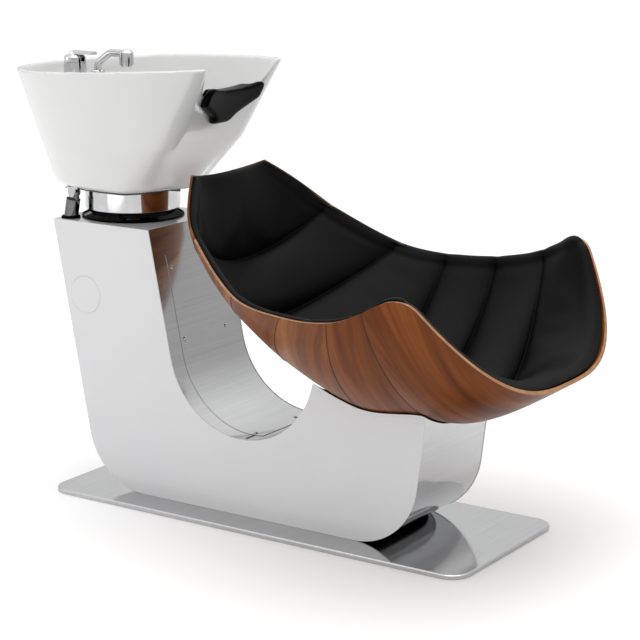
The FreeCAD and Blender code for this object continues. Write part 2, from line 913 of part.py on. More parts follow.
def basin_section(z, inset):
    rear, wide, half, front, front_half, corner, bow = basin_level(z)
    rear += inset
    half -= inset
    front -= inset
    front_half = min(front_half - inset, half - half * hull_taper)
    corner = min(corner, front_half - front_half * hull_taper)
    turns = [math.pi * n / (2 * hull_steps) for n in range(-hull_steps, hull_steps + 1)]
    points = [V(wide + (rear - wide) * math.cos(turn), half * math.sin(turn), z) for turn in turns]
    back = Part.BSplineCurve()
    back.interpolate(Points=points, InitialTangent=V(rear - wide, 0, 0), FinalTangent=V(wide - rear, 0, 0))
    left = hull_side(V(wide, half, z), V(front, front_half, z), corner)
    right = [[V(p.x, -p.y, z) for p in reversed(poles)] for poles in reversed(left)]
    inner = left[1][2]
    nose = [inner, V(front + 2 * bow, 0, z), V(inner.x, -inner.y, z)]
    edges = [curve_through(poles) for poles in left] + [curve_through(nose)]
    edges += [curve_through(poles) for poles in right]
    return Part.Wire([back.toShape()] + edges)


def hull_side(wide, corner_point, corner):
    # The side's curve and the rounded front corner, as control points
    middle = V(mix(wide.x, corner_point.x, hull_fullness), wide.y, wide.z)
    back_way = (middle - corner_point).normalize()
    start = corner_point + back_way * corner
    end = corner_point + V(0, -corner, 0)
    return [[wide, middle, start], [start, corner_point, end]]


def curve_through(poles):
    curve = Part.BezierCurve()
    curve.setPoles(poles)
    return curve.toBSpline().toShape()


def hull(levels):
    # A ruled solid through level sections, each given as height and inset
    return Part.makeLoft([basin_section(z, inset) for z, inset in levels], True, True)


def basin_outer():
    top = basin_rim_height + basin_extra
    block = hull([(basin_floor_height, basin_foot_radius),
                  (basin_floor_height + basin_foot_radius * foot_round_rise,
                   basin_foot_radius * foot_round_inset),
                  (basin_floor_height + basin_foot_radius, 0), (basin_knee_height, 0), (top, 0)])
    rear_rim = basin_rim_height - basin_rim_fall * (basin_front_x - basin_rear_x)
    slope_far = basin_rear_x - basin_extra
    lid = polyline([xz(slope_far, rear_rim - basin_rim_fall * basin_extra),
                    xz(basin_front_x + basin_extra, basin_rim_height + basin_rim_fall * basin_extra),
                    xz(basin_front_x + basin_extra, top + basin_extra), xz(slope_far, top + basin_extra)])
    return block.cut(prism_xz(lid, -basin_half_width - basin_extra, basin_half_width + basin_extra))


def basin():
    top = basin_rim_height + 2 * basin_extra
    wall = basin_wall
    bowl = hull([(bowl_height + bowl_round * rise, wall + bowl_floor_inset * inset)
                 for rise, inset in bowl_round_shares] + [(basin_knee_height, wall), (top, wall)])
    bowl = bowl.cut(deck_block())
    under = hull([(basin_floor_height - overrun, wall + basin_foot_radius),
                  (bowl_height - basin_wall, wall + basin_foot_radius / 2)])
    pocket = hull([(basin_floor_height - overrun, wall + basin_foot_radius / 2),
                   (deck_height - basin_wall, wall)])
    pocket = pocket.common(box(basin_rear_x, deck_front_x - basin_wall, -basin_half_width,
                               basin_half_width, basin_floor_height - overrun, deck_height))
    shape = cut_all(basin_outer(), [bowl, under, pocket, neck_notch()])
    shape = shape.cut(rod(V(cup_x, 0, basin_floor_height), drain_radius,
                          bowl_height - basin_floor_height + overrun))
    shape = shape.cut(rod(V(mixer_x, mixer_y, basin_knee_height), mixer_hole_radius, basin_span))
    return shape.cut(rod(V(spray_x, spray_y, basin_knee_height), spray_hole_radius, basin_span))


def deck_block():
    # The ledge behind the bowl, with a hollowed front
    low = bowl_height - basin_extra
    block = box(basin_rear_x - basin_extra, basin_wide_x, -basin_half_width, basin_half_width,
                low, deck_height)
    return block.cut(Part.makeCone(deck_foot_radius, deck_rim_radius, deck_height + basin_extra - low,
                                   V(deck_front_x + deck_rim_radius, 0, low)))


def neck_notch():
    rise = basin_rim_height - deck_height
    outward = (notch_mouth_half_width - notch_half_width) / rise
    top = rise + basin_extra
    wide = notch_half_width + outward * top
    corners = [V(0, -wide, deck_height + top), V(0, -notch_half_width, deck_height),
               V(0, notch_half_width, deck_height), V(0, wide, deck_height + top)]
    block = Part.Face(polyline(corners)).extrude(V(notch_run, 0, 0))
    low = [e for e in block.Edges if abs(e.CenterOfMass.z - deck_height) < rest_gap
           and abs(e.CenterOfMass.y) > notch_half_width - rest_gap]
    block = block.makeFillet(notch_corner_radius, low)
    block.translate(V(basin_front_x + basin_extra - notch_run, 0, 0))
    return block


# Neck rest

def neck_outline(x0, x1, half, low_half):
    dip = neck_end_height - neck_dip
    points = [V(x0, half, neck_shoulder_height), V(x0, half, neck_end_height - neck_corner_radius),
              V(x0, half - neck_corner_radius, neck_end_height), V(x0, 0, dip)]
    left = [points[0], points[1]]
    top = Part.BSplineCurve()
    quarter_height = mix(neck_end_height, dip, neck_dip_share)
    top.interpolate(Points=[points[2], V(x0, half / 2, quarter_height), points[3],
                            V(x0, -half / 2, quarter_height),
                            V(x0, -points[2].y, points[2].z)])
    corner = arc_between(points[1], points[2])
    mirrored = arc_between(V(x0, -points[2].y, points[2].z), V(x0, -points[1].y, points[1].z))
    round_low = low_half - neck_corner_radius
    tongue = [V(x0, -half, neck_shoulder_height), V(x0, -low_half, neck_tongue_height + neck_corner_radius),
              V(x0, -round_low, neck_tongue_height), V(x0, round_low, neck_tongue_height),
              V(x0, low_half, neck_tongue_height + neck_corner_radius)]
    edges = [Part.makeLine(left[0], left[1]), corner, top.toShape(), mirrored,
             Part.makeLine(V(x0, -half, points[1].z), tongue[0])]
    edges += [Part.makeLine(tongue[0], tongue[1]), Part.makeLine(tongue[1], tongue[2]),
              Part.makeLine(tongue[2], tongue[3]), Part.makeLine(tongue[3], tongue[4]),
              Part.makeLine(tongue[4], left[0])]
    return Part.Face(Part.Wire(edges)).extrude(V(x1 - x0, 0, 0))


def arc_between(first, second):
    # A quarter round in the YZ plane that bulges away from the middle
    middle = (first + second) / 2
    bulge = V(0, first.y + second.y, abs(first.y + second.y)).normalize()
    return arc(first, middle + bulge * (neck_corner_radius - neck_corner_radius / math.sqrt(2)), second)


def moved(shape, x):
    copy = shape.copy()
    copy.translate(V(x, 0, 0))
    return copy


def neck_rest():
    body = basin_outer()
    low = neck_tongue_height - neck_corner_radius
    plan = neck_outline(basin_foot_rear_x, basin_front_x + basin_extra, neck_half_width,
                        neck_tongue_half_width)
    face = moved(body, neck_thickness).common(plan).cut(moved(body, neck_gap))
    face = face.common(box(basin_wide_x, 0, -basin_half_width, basin_half_width, low, basin_rim_height))
    strip = box(basin_wide_x, 0, -neck_hook_half_width, neck_hook_half_width,
                deck_height - neck_leg_drop, basin_rim_height)
    inner = moved(body, -basin_wall - neck_hook_gap)
    back = moved(body, -basin_wall - neck_hook_gap - neck_leg_thickness)
    leg = inner.cut(back).common(strip).common(plan)
    cover_back = moved(body, -basin_wall - neck_hook_gap - neck_cover_thickness)
    over = moved(body, neck_cover_thickness).cut(cover_back).common(strip).common(plan)
    over = over.common(box(basin_wide_x, 0, -basin_half_width, basin_half_width,
                           deck_height + neck_gap, basin_rim_height))
    return face.fuse(over).fuse(leg).removeSplitter()


# Tower head

def head_plate():
    low = head_plate_height
    high = low + head_plate_thickness
    inset = skin_recess + skin_thickness
    plate = box(tower_rear_line_x(low, inset), tower_line_x(high, inset), -inner_half, inner_half, low, high)
    plate = plate.cut(rod(V(cup_x, 0, low - overrun), head_plate_hole_radius,
                          head_plate_thickness + 2 * overrun))
    lugs = []
    near = strut_eye_width / 2 + strut_lug_gap
    for side in (-1, 1):
        for y0 in (strut_y + near, strut_y - near - strut_lug_thickness):
            lug = box(strut_foot.x - strut_eye_radius, strut_foot.x + strut_eye_radius, y0,
                      y0 + strut_lug_thickness, low, strut_foot_height)
            lug = lug.fuse(rod(V(strut_foot.x, y0, strut_foot_height), strut_eye_radius,
                               strut_lug_thickness, V(0, 1, 0)))
            lug = lug.cut(rod(V(strut_foot.x, y0, strut_foot_height), strut_pin_radius,
                              strut_lug_thickness, V(0, 1, 0)))
            lugs.append(on_side(lug, side))
    for lug in lugs:
        plate = plate.fuse(lug)
    return plate.removeSplitter()


def strut_pin(side):
    length = strut_eye_width + 2 * strut_lug_gap + 2 * strut_lug_thickness
    return rod(V(strut_foot.x, side * strut_y - length / 2, strut_foot_height), strut_pin_radius,
               length, V(0, 1, 0))


def strut_collar(side):
    ring = rod(V(strut_x, side * strut_y, tower_height), strut_collar_radius, strut_collar_height)
    ring = ring.makeChamfer(strut_collar_height / 3, top_rims(ring, tower_height))
    return ring.cut(rod(V(strut_x, side * strut_y, tower_height), collar_hole_radius, strut_collar_height))


def on_side(shape, side):
    return shape if side > 0 else shape.mirror(V(0, 0, 0), V(0, 1, 0))


def strut_rod(side):
    # The lower rod with its eye on the pin
    length = (strut_top - strut_foot).Length - strut_rod_head_gap
    eye = rod(V(strut_foot.x, strut_y - strut_eye_width / 2, strut_foot_height), strut_eye_radius,
              strut_eye_width, V(0, 1, 0))
    stem = rod(strut_foot, strut_rod_radius, length, strut_axis)
    neck = rod(strut_foot, strut_rod_radius, 2 * strut_eye_radius, strut_axis)
    slab = box(strut_foot.x - strut_rod_radius * 2, strut_foot.x + strut_rod_radius * 2,
               strut_y - strut_eye_width / 2, strut_y + strut_eye_width / 2,
               strut_foot_height, strut_foot_height + strut_eye_radius)
    lower = neck.common(slab)
    upper = stem.cut(box(strut_foot.x - strut_rod_radius * 2, strut_foot.x + strut_rod_radius * 2,
                         0, strut_y * 2, 0, strut_foot_height + strut_eye_radius))
    shape = eye.fuse(lower).fuse(upper).removeSplitter()
    return on_side(shape.cut(rod(V(strut_foot.x, 0, strut_foot_height), strut_pin_radius + running_gap,
                                 2 * strut_y, V(0, 1, 0))), side)


def strut_tube(side):
    # The outer tube with the tongue that carries the basin bracket's pin
    start = strut_foot + strut_axis * ((strut_tube_bottom_height - strut_foot_height) / strut_axis.z)
    length = (strut_top - start).Length - strut_pin_radius - strut_eye_radius
    tube = rod(start, strut_tube_radius, length, strut_axis)
    bore = rod(start, strut_rod_radius + running_gap, (strut_top - start).Length - strut_bore_head_gap,
               strut_axis)
    tongue = box(strut_top.x - strut_eye_radius, strut_top.x + strut_eye_radius,
                 strut_y - strut_eye_width / 2, strut_y + strut_eye_width / 2,
                 strut_top_height - 2 * strut_eye_radius, strut_top_height)
    eye = rod(V(strut_top.x, strut_y - strut_eye_width / 2, strut_top_height), strut_eye_radius,
              strut_eye_width, V(0, 1, 0))
    shape = tube.cut(bore).fuse(tongue).fuse(eye).removeSplitter()
    return on_side(shape.cut(rod(V(strut_top.x, 0, strut_top_height), strut_pin_radius + strut_top_gap,
                                 2 * strut_y, V(0, 1, 0))), side)


def strut_bracket(side):
    # The basin's fork over the tube's tongue, with its pin
    near = strut_eye_width / 2 + strut_lug_gap
    plate = box(strut_top.x - 2 * strut_eye_radius, strut_top.x + 2 * strut_eye_radius,
                strut_y - near - strut_lug_thickness, strut_y + near + strut_lug_thickness,
                basin_floor_height - strut_lug_thickness, basin_floor_height)
    pin = rod(V(strut_top.x, strut_y - near - strut_lug_thickness, strut_top_height), strut_pin_radius,
              2 * near + 2 * strut_lug_thickness, V(0, 1, 0))
    shape = plate.fuse(pin)
    for y0 in (strut_y - near - strut_lug_thickness, strut_y + near):
        shape = shape.fuse(box(strut_top.x - strut_eye_radius, strut_top.x + strut_eye_radius, y0,
                               y0 + strut_lug_thickness, strut_top_height, basin_floor_height))
        shape = shape.fuse(rod(V(strut_top.x, y0, strut_top_height), strut_eye_radius,
                               strut_lug_thickness, V(0, 1, 0)))
    return on_side(shape.removeSplitter(), side)


def gasket():
    inner = cup_hole_radius
    ring = rod(V(cup_x, 0, tower_height), inner + gasket_width, gasket_height)
    ring = ring.cut(rod(V(cup_x, 0, tower_height), inner, gasket_height))
    return ring.makeChamfer(gasket_width / 4, top_rims(ring, tower_height))


def tilt_yoke(side):
    foot = box(cup_x - ear_half_width, cup_x + ear_half_width, yoke_inner_y,
               post_half_spacing + post_width / 2, yoke_foot_bottom, yoke_foot_bottom + yoke_foot_thickness)
    ear = ear_plate(yoke_inner_y, yoke_thickness, yoke_foot_bottom)
    return on_side(foot.fuse(ear).removeSplitter().cut(pivot_hole(pivot_radius)), side)


def ear_plate(y0, thickness, end_height):
    low = min(end_height, pivot_height)
    ear = box(cup_x - ear_half_width, cup_x + ear_half_width, y0, y0 + thickness, low,
              max(end_height, pivot_height))
    return ear.fuse(rod(V(cup_x, y0, pivot_height), ear_half_width, thickness, V(0, 1, 0)))


def pivot_hole(radius):
    return rod(V(cup_x, 0, pivot_height), radius, basin_half_width, V(0, 1, 0))


def tilt_pin(side):
    head = rod(V(cup_x, yoke_inner_y - pin_head_height, pivot_height), pin_head_radius, pin_head_height,
               V(0, 1, 0))
    shank = rod(V(cup_x, yoke_inner_y, pivot_height), pivot_radius,
                ear_inner_y + ear_thickness + pin_head_height - yoke_inner_y, V(0, 1, 0))
    return on_side(head.fuse(shank).removeSplitter(), side)


def basin_carrier():
    # The steel plate under the basin's foot with the two ears it tilts on
    wire = basin_section(basin_floor_height, basin_foot_radius + carrier_inset)
    plate = Part.Face(wire).extrude(V(0, 0, -carrier_thickness))
    plate = plate.cut(rod(V(cup_x, 0, carrier_bottom), carrier_hole_radius, carrier_thickness))
    plate = plate.cut(rounded_rectangle(cup_x - hose_slot_length / 2, 0, hose_slot_length,
                                        2 * carrier_hole_radius, carrier_hole_radius / 2,
                                        carrier_bottom, carrier_thickness))
    clear = 2 * strut_eye_radius + strut_lug_gap
    near = strut_y - strut_eye_width / 2 - strut_lug_thickness - 2 * strut_lug_gap
    plate = cut_all(plate, [on_side(box(strut_top.x - clear, strut_top.x + clear, near, basin_half_width,
                                        carrier_bottom, basin_floor_height), side) for side in (-1, 1)])
    for side in (-1, 1):
        ear = ear_plate(ear_inner_y, ear_thickness, carrier_bottom)
        ear = ear.cut(pivot_hole(pivot_radius + running_gap))
        plate = plate.fuse(on_side(ear, side))
    return plate.removeSplitter()


def tilt_cup():
    outer = cup_radius
    inner = cup_radius - cup_wall
    low = cup_bottom_height
    lean = cup_wall * (math.sqrt(2) - 1)
    profile = [xz(outer, carrier_bottom), xz(outer, low + cup_chamfer), xz(outer - cup_chamfer, low),
               xz(outer - cup_chamfer - cup_wall * math.sqrt(2), low),
               xz(inner, low + cup_chamfer + lean), xz(inner, carrier_bottom)]
    cup = Part.Face(polyline(profile)).revolve(V(0, 0, 0), V(0, 0, 1), 360)
    cup.translate(V(cup_x, 0, 0))
    return cup


# Waste and water

def pipe(points, bend, radius):
    # A round rod along a path with rounded corners
    edges = []
    start = points[0]
    for before, corner, after in zip(points, points[1:], points[2:]):
        back = (before - corner).normalize()
        ahead = (after - corner).normalize()
        angle = back.getAngle(ahead)
        cut = bend / math.tan(angle / 2)
        middle = corner + (back + ahead).normalize() * (bend / math.sin(angle / 2) - bend)
        edges.append(Part.makeLine(start, corner + back * cut))
        edges.append(arc(corner + back * cut, middle, corner + ahead * cut))
        start = corner + ahead * cut
    edges.append(Part.makeLine(start, points[-1]))
    path = Part.Wire(edges)
    direction = (points[1] - points[0]).normalize()
    profile = Part.Wire([Part.Circle(points[0], direction, radius).toShape()])
    return path.makePipeShell([profile], True, False)


def waste_boot():
    x = cup_x
    tube = rod(V(x, 0, boot_bottom_height), boot_radius, boot_height)
    tube = tube.cut(rod(V(x, 0, boot_bottom_height + boot_wall), boot_radius - boot_wall, boot_height))
    flange = rod(V(x, 0, yoke_foot_bottom), boot_flange_radius, boot_flange_thickness)
    flange = flange.cut(rod(V(x, 0, yoke_foot_bottom), boot_radius - boot_wall, boot_flange_thickness))
    flange = flange.common(box(x - boot_flange_radius, x + boot_flange_radius, -yoke_inner_y + rest_gap,
                               yoke_inner_y - rest_gap, yoke_foot_bottom, tower_height))
    shape = tube.fuse(flange)
    for side in (-1, 1):
        rise = hose_path(side)[2]
        hole = rod(V(rise.x, rise.y, yoke_foot_bottom), hose_radius + hose_gap,
                   boot_flange_thickness)
        shape = shape.cut(hole)
    shape = shape.cut(rod(V(x, 0, boot_bottom_height), waste_pipe_radius, boot_wall))
    return shape.removeSplitter()


def waste_trap():
    turn = 2 * trap_bend_radius
    x = cup_x
    points = [V(x, 0, boot_bottom_height + boot_wall), V(x, 0, trap_bottom_height),
              V(x + turn, 0, trap_bottom_height), V(x + turn, 0, trap_top_height),
              V(x + 2 * turn, 0, trap_top_height), V(x + 2 * turn, 0, 0)]
    bend = trap_bend_radius * bend_share
    foot = points[-1]
    outer = pipe(points[:-1] + [foot + V(0, 0, spigot_length)], bend, waste_pipe_radius)
    outer = outer.fuse(rod(foot, waste_spigot_radius, spigot_length))
    return outer.cut(pipe(points, bend, waste_spigot_radius - waste_pipe_wall)).removeSplitter()


def drain_flange():
    ring = rod(V(cup_x, 0, bowl_height), drain_flange_radius, drain_flange_thickness)
    neck = rod(V(cup_x, 0, drain_neck_bottom), drain_radius - rest_gap, bowl_height - drain_neck_bottom)
    ring = ring.fuse(neck)
    ring = ring.cut(rod(V(cup_x, 0, bowl_height + drain_flange_thickness - strainer_depth),
                        strainer_radius + strainer_gap, strainer_depth))
    return ring.cut(rod(V(cup_x, 0, drain_neck_bottom), drain_bore_radius,
                        bowl_height + drain_flange_thickness - drain_neck_bottom)).removeSplitter()


def drain_nut():
    low = bowl_height - basin_wall - drain_nut_height
    nut = hexagon(cup_x, 0, low, drain_nut_radius, drain_nut_height)
    return nut.cut(rod(V(cup_x, 0, low), drain_radius - rest_gap, drain_nut_height))


def drain_strainer():
    top = bowl_height + drain_flange_thickness
    disc = rod(V(cup_x, 0, top - strainer_depth), strainer_radius, strainer_depth)
    for share, count in strainer_rings:
        ring = strainer_radius * share
        for n in range(count):
            turn = math.tau * n / count
            disc = disc.cut(rod(V(cup_x + ring * math.cos(turn), ring * math.sin(turn),
                                  top - strainer_depth), strainer_hole_radius, strainer_depth))
    return disc


def tailpiece():
    high = drain_neck_bottom + tail_overlap
    outer = rod(V(cup_x, 0, tail_bottom_height), tail_radius, high - tail_bottom_height)
    nut = rod(V(cup_x, 0, drain_neck_bottom - tail_overlap), drain_radius + tail_wall, 2 * tail_overlap)
    shape = outer.fuse(nut)
    shape = shape.cut(rod(V(cup_x, 0, drain_neck_bottom), drain_radius - rest_gap, tail_overlap))
    return shape.cut(rod(V(cup_x, 0, tail_bottom_height), tail_radius - tail_wall,
                         high - tail_bottom_height))


def hose_path(side):
    return [V(x, side * y, z) for x, y, z in hose_points]


def supply_hose(side):
    return pipe(hose_path(side), hose_bend, hose_radius)


def supply_pipe(side):
    # A pipe up to the stop valve, narrower at the foot where the building's hose is clamped on
    foot = V(valve_x, side * valve_y, 0)
    spigot = rod(foot, supply_spigot_radius, spigot_length)
    return spigot.fuse(rod(foot + V(0, 0, spigot_length), hose_radius,
                           valve_height - valve_body_length / 2 - spigot_length))


def stop_valve(side):
    low = valve_height - valve_body_length / 2
    body = rod(V(valve_x, side * valve_y, low), valve_body_radius, valve_body_length)
    boss = rod(V(valve_x, side * valve_y, valve_height), valve_boss_radius,
               valve_body_radius + valve_boss_length, V(1, 0, 0))
    nut = hexagon(valve_x, side * valve_y, low, valve_body_radius + valve_nut_extra, valve_nut_height)
    shape = body.fuse(boss).fuse(nut)
    return shape.cut(rod(V(valve_x + valve_body_radius - valve_stem_length / 2, side * valve_y, valve_height),
                         valve_stem_radius + running_gap, valve_body_radius + valve_boss_length, V(1, 0, 0))
                     ).removeSplitter()


def valve_handle(side):
    face = valve_x + valve_body_radius + valve_boss_length + rest_gap
    stem = rod(V(valve_x + valve_body_radius, side * valve_y, valve_height), valve_stem_radius,
               face - valve_x - valve_body_radius, V(1, 0, 0))
    hub = rod(V(face, side * valve_y, valve_height), valve_handle_radius, valve_handle_thickness, V(1, 0, 0))
    grip = box(face, face + valve_handle_thickness, side * valve_y - valve_stem_radius,
               side * valve_y + valve_stem_radius, valve_height, valve_height + valve_handle_length)
    return hub.fuse(grip).fuse(stem).removeSplitter()


def pipe_bracket():
    # The strip between the sills that holds both supply pipes and the waste
    low = bracket_height
    span = post_half_spacing - post_width / 2
    strip = box(valve_x - valve_body_radius, valve_x + valve_body_radius, -span, span, low, low + clip_wall)
    legs = both_sides(box(valve_x - valve_body_radius, valve_x + valve_body_radius, span - clip_wall, span,
                          base_thickness, low))
    shape = strip.fuse(legs)
    for side in (-1, 1):
        shape = shape.cut(rod(V(valve_x, side * valve_y, low), hose_radius, clip_wall))
    return shape.removeSplitter()


# Mixer

def mixer_body():
    flange = rod(V(mixer_x, mixer_y, deck_height), mixer_base_radius, mixer_base_height)
    flange = flange.makeChamfer(mixer_base_height / 2, top_rims(flange, deck_height))
    body = rod(V(mixer_x, mixer_y, deck_height), mixer_body_radius, mixer_body_height)
    shank = rod(V(mixer_x, mixer_y, deck_height - mixer_shank_drop), mixer_shank_radius, mixer_shank_drop)
    shape = flange.fuse(body).fuse(shank)
    top = deck_height + mixer_body_height
    return shape.cut(rod(V(mixer_x, mixer_y, top - mixer_spigot_drop), mixer_spigot_radius + running_gap,
                         mixer_spigot_drop)).removeSplitter()


def top_rims(shape, height):
    return [e for e in shape.Edges if len(e.Vertexes) == 1 and e.Vertexes[0].Z > height + rest_gap]


def deck_nut(x, y, shank, radius, height):
    high = deck_height - basin_wall
    nut = hexagon(x, y, high - height, radius, height)
    return nut.cut(rod(V(x, y, high - height), shank, height))


mixer_top = deck_height + mixer_body_height + rest_gap
lever_height = mixer_top + mixer_cap_height


def mixer_cap():
    cap = rod(V(mixer_x, mixer_y, mixer_top), mixer_cap_radius, mixer_cap_height)
    cap = cap.makeChamfer(mixer_cap_bevel, top_rims(cap, mixer_top))
    spigot_low = mixer_top - mixer_spigot_drop
    cap = cap.fuse(rod(V(mixer_x, mixer_y, spigot_low), mixer_spigot_radius, mixer_top - spigot_low))
    slot = lever_hub_width / 2 + running_gap
    reach = lever_hub_radius + rest_gap
    cap = cap.cut(box(mixer_x - reach, mixer_x + mixer_cap_radius, mixer_y - slot, mixer_y + slot,
                      lever_height - lever_hub_radius - reach, lever_height + mixer_cap_height))
    return cap.cut(lever_pin()).removeSplitter()


def lever_pin():
    return rod(V(mixer_x, mixer_y - mixer_cap_radius / 2, lever_height - lever_hub_radius),
               lever_pin_radius, mixer_cap_radius, V(0, 1, 0))


def mixer_lever():
    # A flat paddle on a hub that rocks in the cap's slot
    low = lever_height + lever_gap
    hub = rod(V(mixer_x, mixer_y - lever_hub_width / 2, lever_height - lever_hub_radius), lever_hub_radius,
              lever_hub_width, V(0, 1, 0))
    neck = box(mixer_x - lever_neck, mixer_x + lever_neck, mixer_y - lever_hub_width / 2,
               mixer_y + lever_hub_width / 2, lever_height - lever_hub_radius, low)
    start = mixer_x - lever_tail
    end = start + lever_length
    corners = [V(start, mixer_y - lever_width / 2, low), V(end, mixer_y - lever_tip_width / 2, low),
               V(end, mixer_y + lever_tip_width / 2, low), V(start, mixer_y + lever_width / 2, low)]
    paddle = Part.Face(polyline(corners)).extrude(V(0, 0, lever_thickness))
    uprights = [e for e in paddle.Edges if abs(e.Vertexes[0].Z - e.Vertexes[1].Z) > lever_thickness / 2]
    paddle = paddle.makeFillet(lever_corner_radius, uprights)
    shape = paddle.fuse(neck).fuse(hub).removeSplitter()
    return shape.cut(rod(V(mixer_x, mixer_y - lever_width, lever_height - lever_hub_radius),
                         lever_pin_radius + running_gap, 2 * lever_width, V(0, 1, 0)))


# Hand spray

def spray_holder():
    cup = rod(V(spray_x, spray_y, deck_height), spray_holder_radius, spray_holder_height)
    cup = cup.makeChamfer(spray_holder_height / 6, top_rims(cup, deck_height))
    shank = rod(V(spray_x, spray_y, deck_height - spray_shank_drop), spray_shank_radius, spray_shank_drop)
    return cup.fuse(shank).cut(rod(V(spray_x, spray_y, deck_height - spray_shank_drop),
                                   spray_arm_radius + running_gap, spray_shank_drop + spray_holder_height)
                               ).removeSplitter()


def hand_spray():
    high = deck_height + spray_holder_height
    head_x = spray_x + spray_reach
    head_z = high + spray_rise
    points = [V(spray_x, spray_y, deck_height - spray_drop),
              V(spray_x, spray_y, high + spray_rise * spray_start_share),
              V(spray_x + spray_reach * spray_bend_share, spray_y, head_z), V(head_x, spray_y, head_z)]
    arm = pipe(points, spray_bend_radius, spray_arm_radius)
    head = rod(V(head_x, spray_y, head_z + spray_arm_radius - spray_head_height), spray_head_radius,
               spray_head_height)
    head = head.makeChamfer(spray_head_radius / 3, top_rims(head, head_z))
    face = rod(V(head_x, spray_y, head_z + spray_arm_radius - spray_head_height - mixer_base_height),
               spray_face_radius, mixer_base_height)
    return arm.fuse(head).fuse(face).removeSplitter()


def spray_hose():
    # From the mixer's outlet down in the pocket and up to the hand spray
    low = spray_hose_bottom
    outlet_x = mixer_x + spray_outlet_offset
    points = [V(spray_x, spray_y, deck_height - spray_drop), V(spray_x, spray_y, low),
              V(outlet_x, mixer_y, low), V(outlet_x, mixer_y, deck_height - mixer_shank_drop)]
    return pipe(points, hose_bend, hose_radius)


def piece_list():
    wrap_shape = wrap()
    pieces = [
        ("base_plate", base_plate()),
        ("side_panel_right", side_panel(-1).cut(cap_hole())),
        ("side_panel_left", side_panel(1)),
        ("side_cap", side_cap()),
        ("rear_cover", cover(wrap_shape, rear_limit, rear_corner_x, 0, tower_height)),
        ("inner_cover", cut_all(cover(wrap_shape, rear_corner_x, front_corner_x, corner_centre_height,
                                      tower_height), screw_shanks(screw_shank_radius + screw_gap))),
        ("front_cover", cover(wrap_shape, front_corner_x, front_limit, 0, tower_height)),
        ("access_panel", access_panel()),
        ("access_screws", access_screws()),
        ("tower_top_plate", top_plate(tower_height - skin_thickness, tower_height,
                                      skin_recess + skin_thickness)),
        ("head_plate", head_plate()),
        ("seat_post", seat_post()),
        ("seat_saddle", seat_saddle()),
        ("seat_bolts", seat_bolts()),
        ("cup_gasket", gasket()),
        ("basin", basin()),
        ("basin_carrier", basin_carrier()),
        ("tilt_cup", tilt_cup()),
        ("neck_rest", neck_rest()),
        ("drain_flange", drain_flange()),
        ("basin_nuts", Part.makeCompound([
            drain_nut(),
            deck_nut(mixer_x, mixer_y, mixer_shank_radius, mixer_nut_radius, mixer_nut_height),
            deck_nut(spray_x, spray_y, spray_shank_radius, spray_nut_radius, mixer_nut_height)])),
        ("drain_strainer", drain_strainer()),
        ("tailpiece", tailpiece()),
        ("waste_boot", waste_boot()),
        ("waste_trap", waste_trap()),
        ("pipe_bracket", pipe_bracket()),
        ("mixer_body", mixer_body()),
        ("mixer_cap", mixer_cap()),
        ("lever_pin", lever_pin()),
        ("mixer_lever", mixer_lever()),
        ("spray_holder", spray_holder()),
        ("hand_spray", hand_spray()),
        ("spray_hose", spray_hose()),
    ]
    pieces.append(("frame_rails", Part.makeCompound([post(-1), post(1), sill(-1), sill(1)])))
    for name, make in (("tilt_yokes", tilt_yoke),
                       ("tilt_pins", tilt_pin), ("strut_pins", strut_pin), ("strut_collars", strut_collar),
                       ("strut_brackets", strut_bracket), ("supply_hoses", supply_hose),
                       ("supply_pipes", supply_pipe), ("stop_valves", stop_valve)):
        pieces.append((name, Part.makeCompound([make(-1), make(1)])))
    for word, side in (("right", -1), ("left", 1)):
        pieces.append(("strut_rod_" + word, strut_rod(side)))
        pieces.append(("strut_tube_" + word, strut_tube(side)))
    for word, side in (("cold", -1), ("hot", 1)):
        pieces.append(("valve_handle_" + word, valve_handle(side)))
    staves = [stave(first, last) for first, last in stave_ends]
    staves[-1] = staves[-1].cut(tip_cutter(0))
    for number, shape in enumerate(staves):
        pieces.append(("shell_stave_" + str(number + 1), shape))
    cushion = [cushion_panel(number, staves) for number in range(len(channel_shares) - 1)]
    cushion[-1] = cushion[-1].cut(tip_cutter(cushion_rim_rise))
    for number, shape in enumerate(cushion):
        pieces.append(("cushion_panel_" + str(number + 1), shape))
    return pieces


for name, shape in piece_list():
    save(name, shape)
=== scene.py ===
import bpy
import bmesh
import math
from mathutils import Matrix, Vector


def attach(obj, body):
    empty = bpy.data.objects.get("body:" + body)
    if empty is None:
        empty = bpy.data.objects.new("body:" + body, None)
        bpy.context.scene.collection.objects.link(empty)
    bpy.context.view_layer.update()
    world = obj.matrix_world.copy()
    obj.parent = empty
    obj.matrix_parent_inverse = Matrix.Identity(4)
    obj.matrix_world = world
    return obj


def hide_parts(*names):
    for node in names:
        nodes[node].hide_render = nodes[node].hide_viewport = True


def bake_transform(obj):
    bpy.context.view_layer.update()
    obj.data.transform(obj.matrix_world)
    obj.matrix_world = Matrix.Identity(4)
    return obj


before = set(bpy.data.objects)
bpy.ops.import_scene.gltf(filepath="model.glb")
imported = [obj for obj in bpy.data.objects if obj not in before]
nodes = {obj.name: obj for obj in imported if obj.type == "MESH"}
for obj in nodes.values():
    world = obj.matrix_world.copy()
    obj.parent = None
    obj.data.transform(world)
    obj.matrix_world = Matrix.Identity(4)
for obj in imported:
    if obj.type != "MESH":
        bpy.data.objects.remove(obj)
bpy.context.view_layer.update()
print("frame loaded with", len(nodes), "CAD nodes")

# Camera, floor and light

photoView = {"place": (2.38915, -3.47962, 1.40745), "azimuth": 33.784, "pitch": 13.206,
             "lens": 115.3, "sensor": 36, "farthest": 80}


def placed(name, data):
    piece = bpy.data.objects.new(name, data)
    bpy.context.scene.collection.objects.link(piece)
    return piece


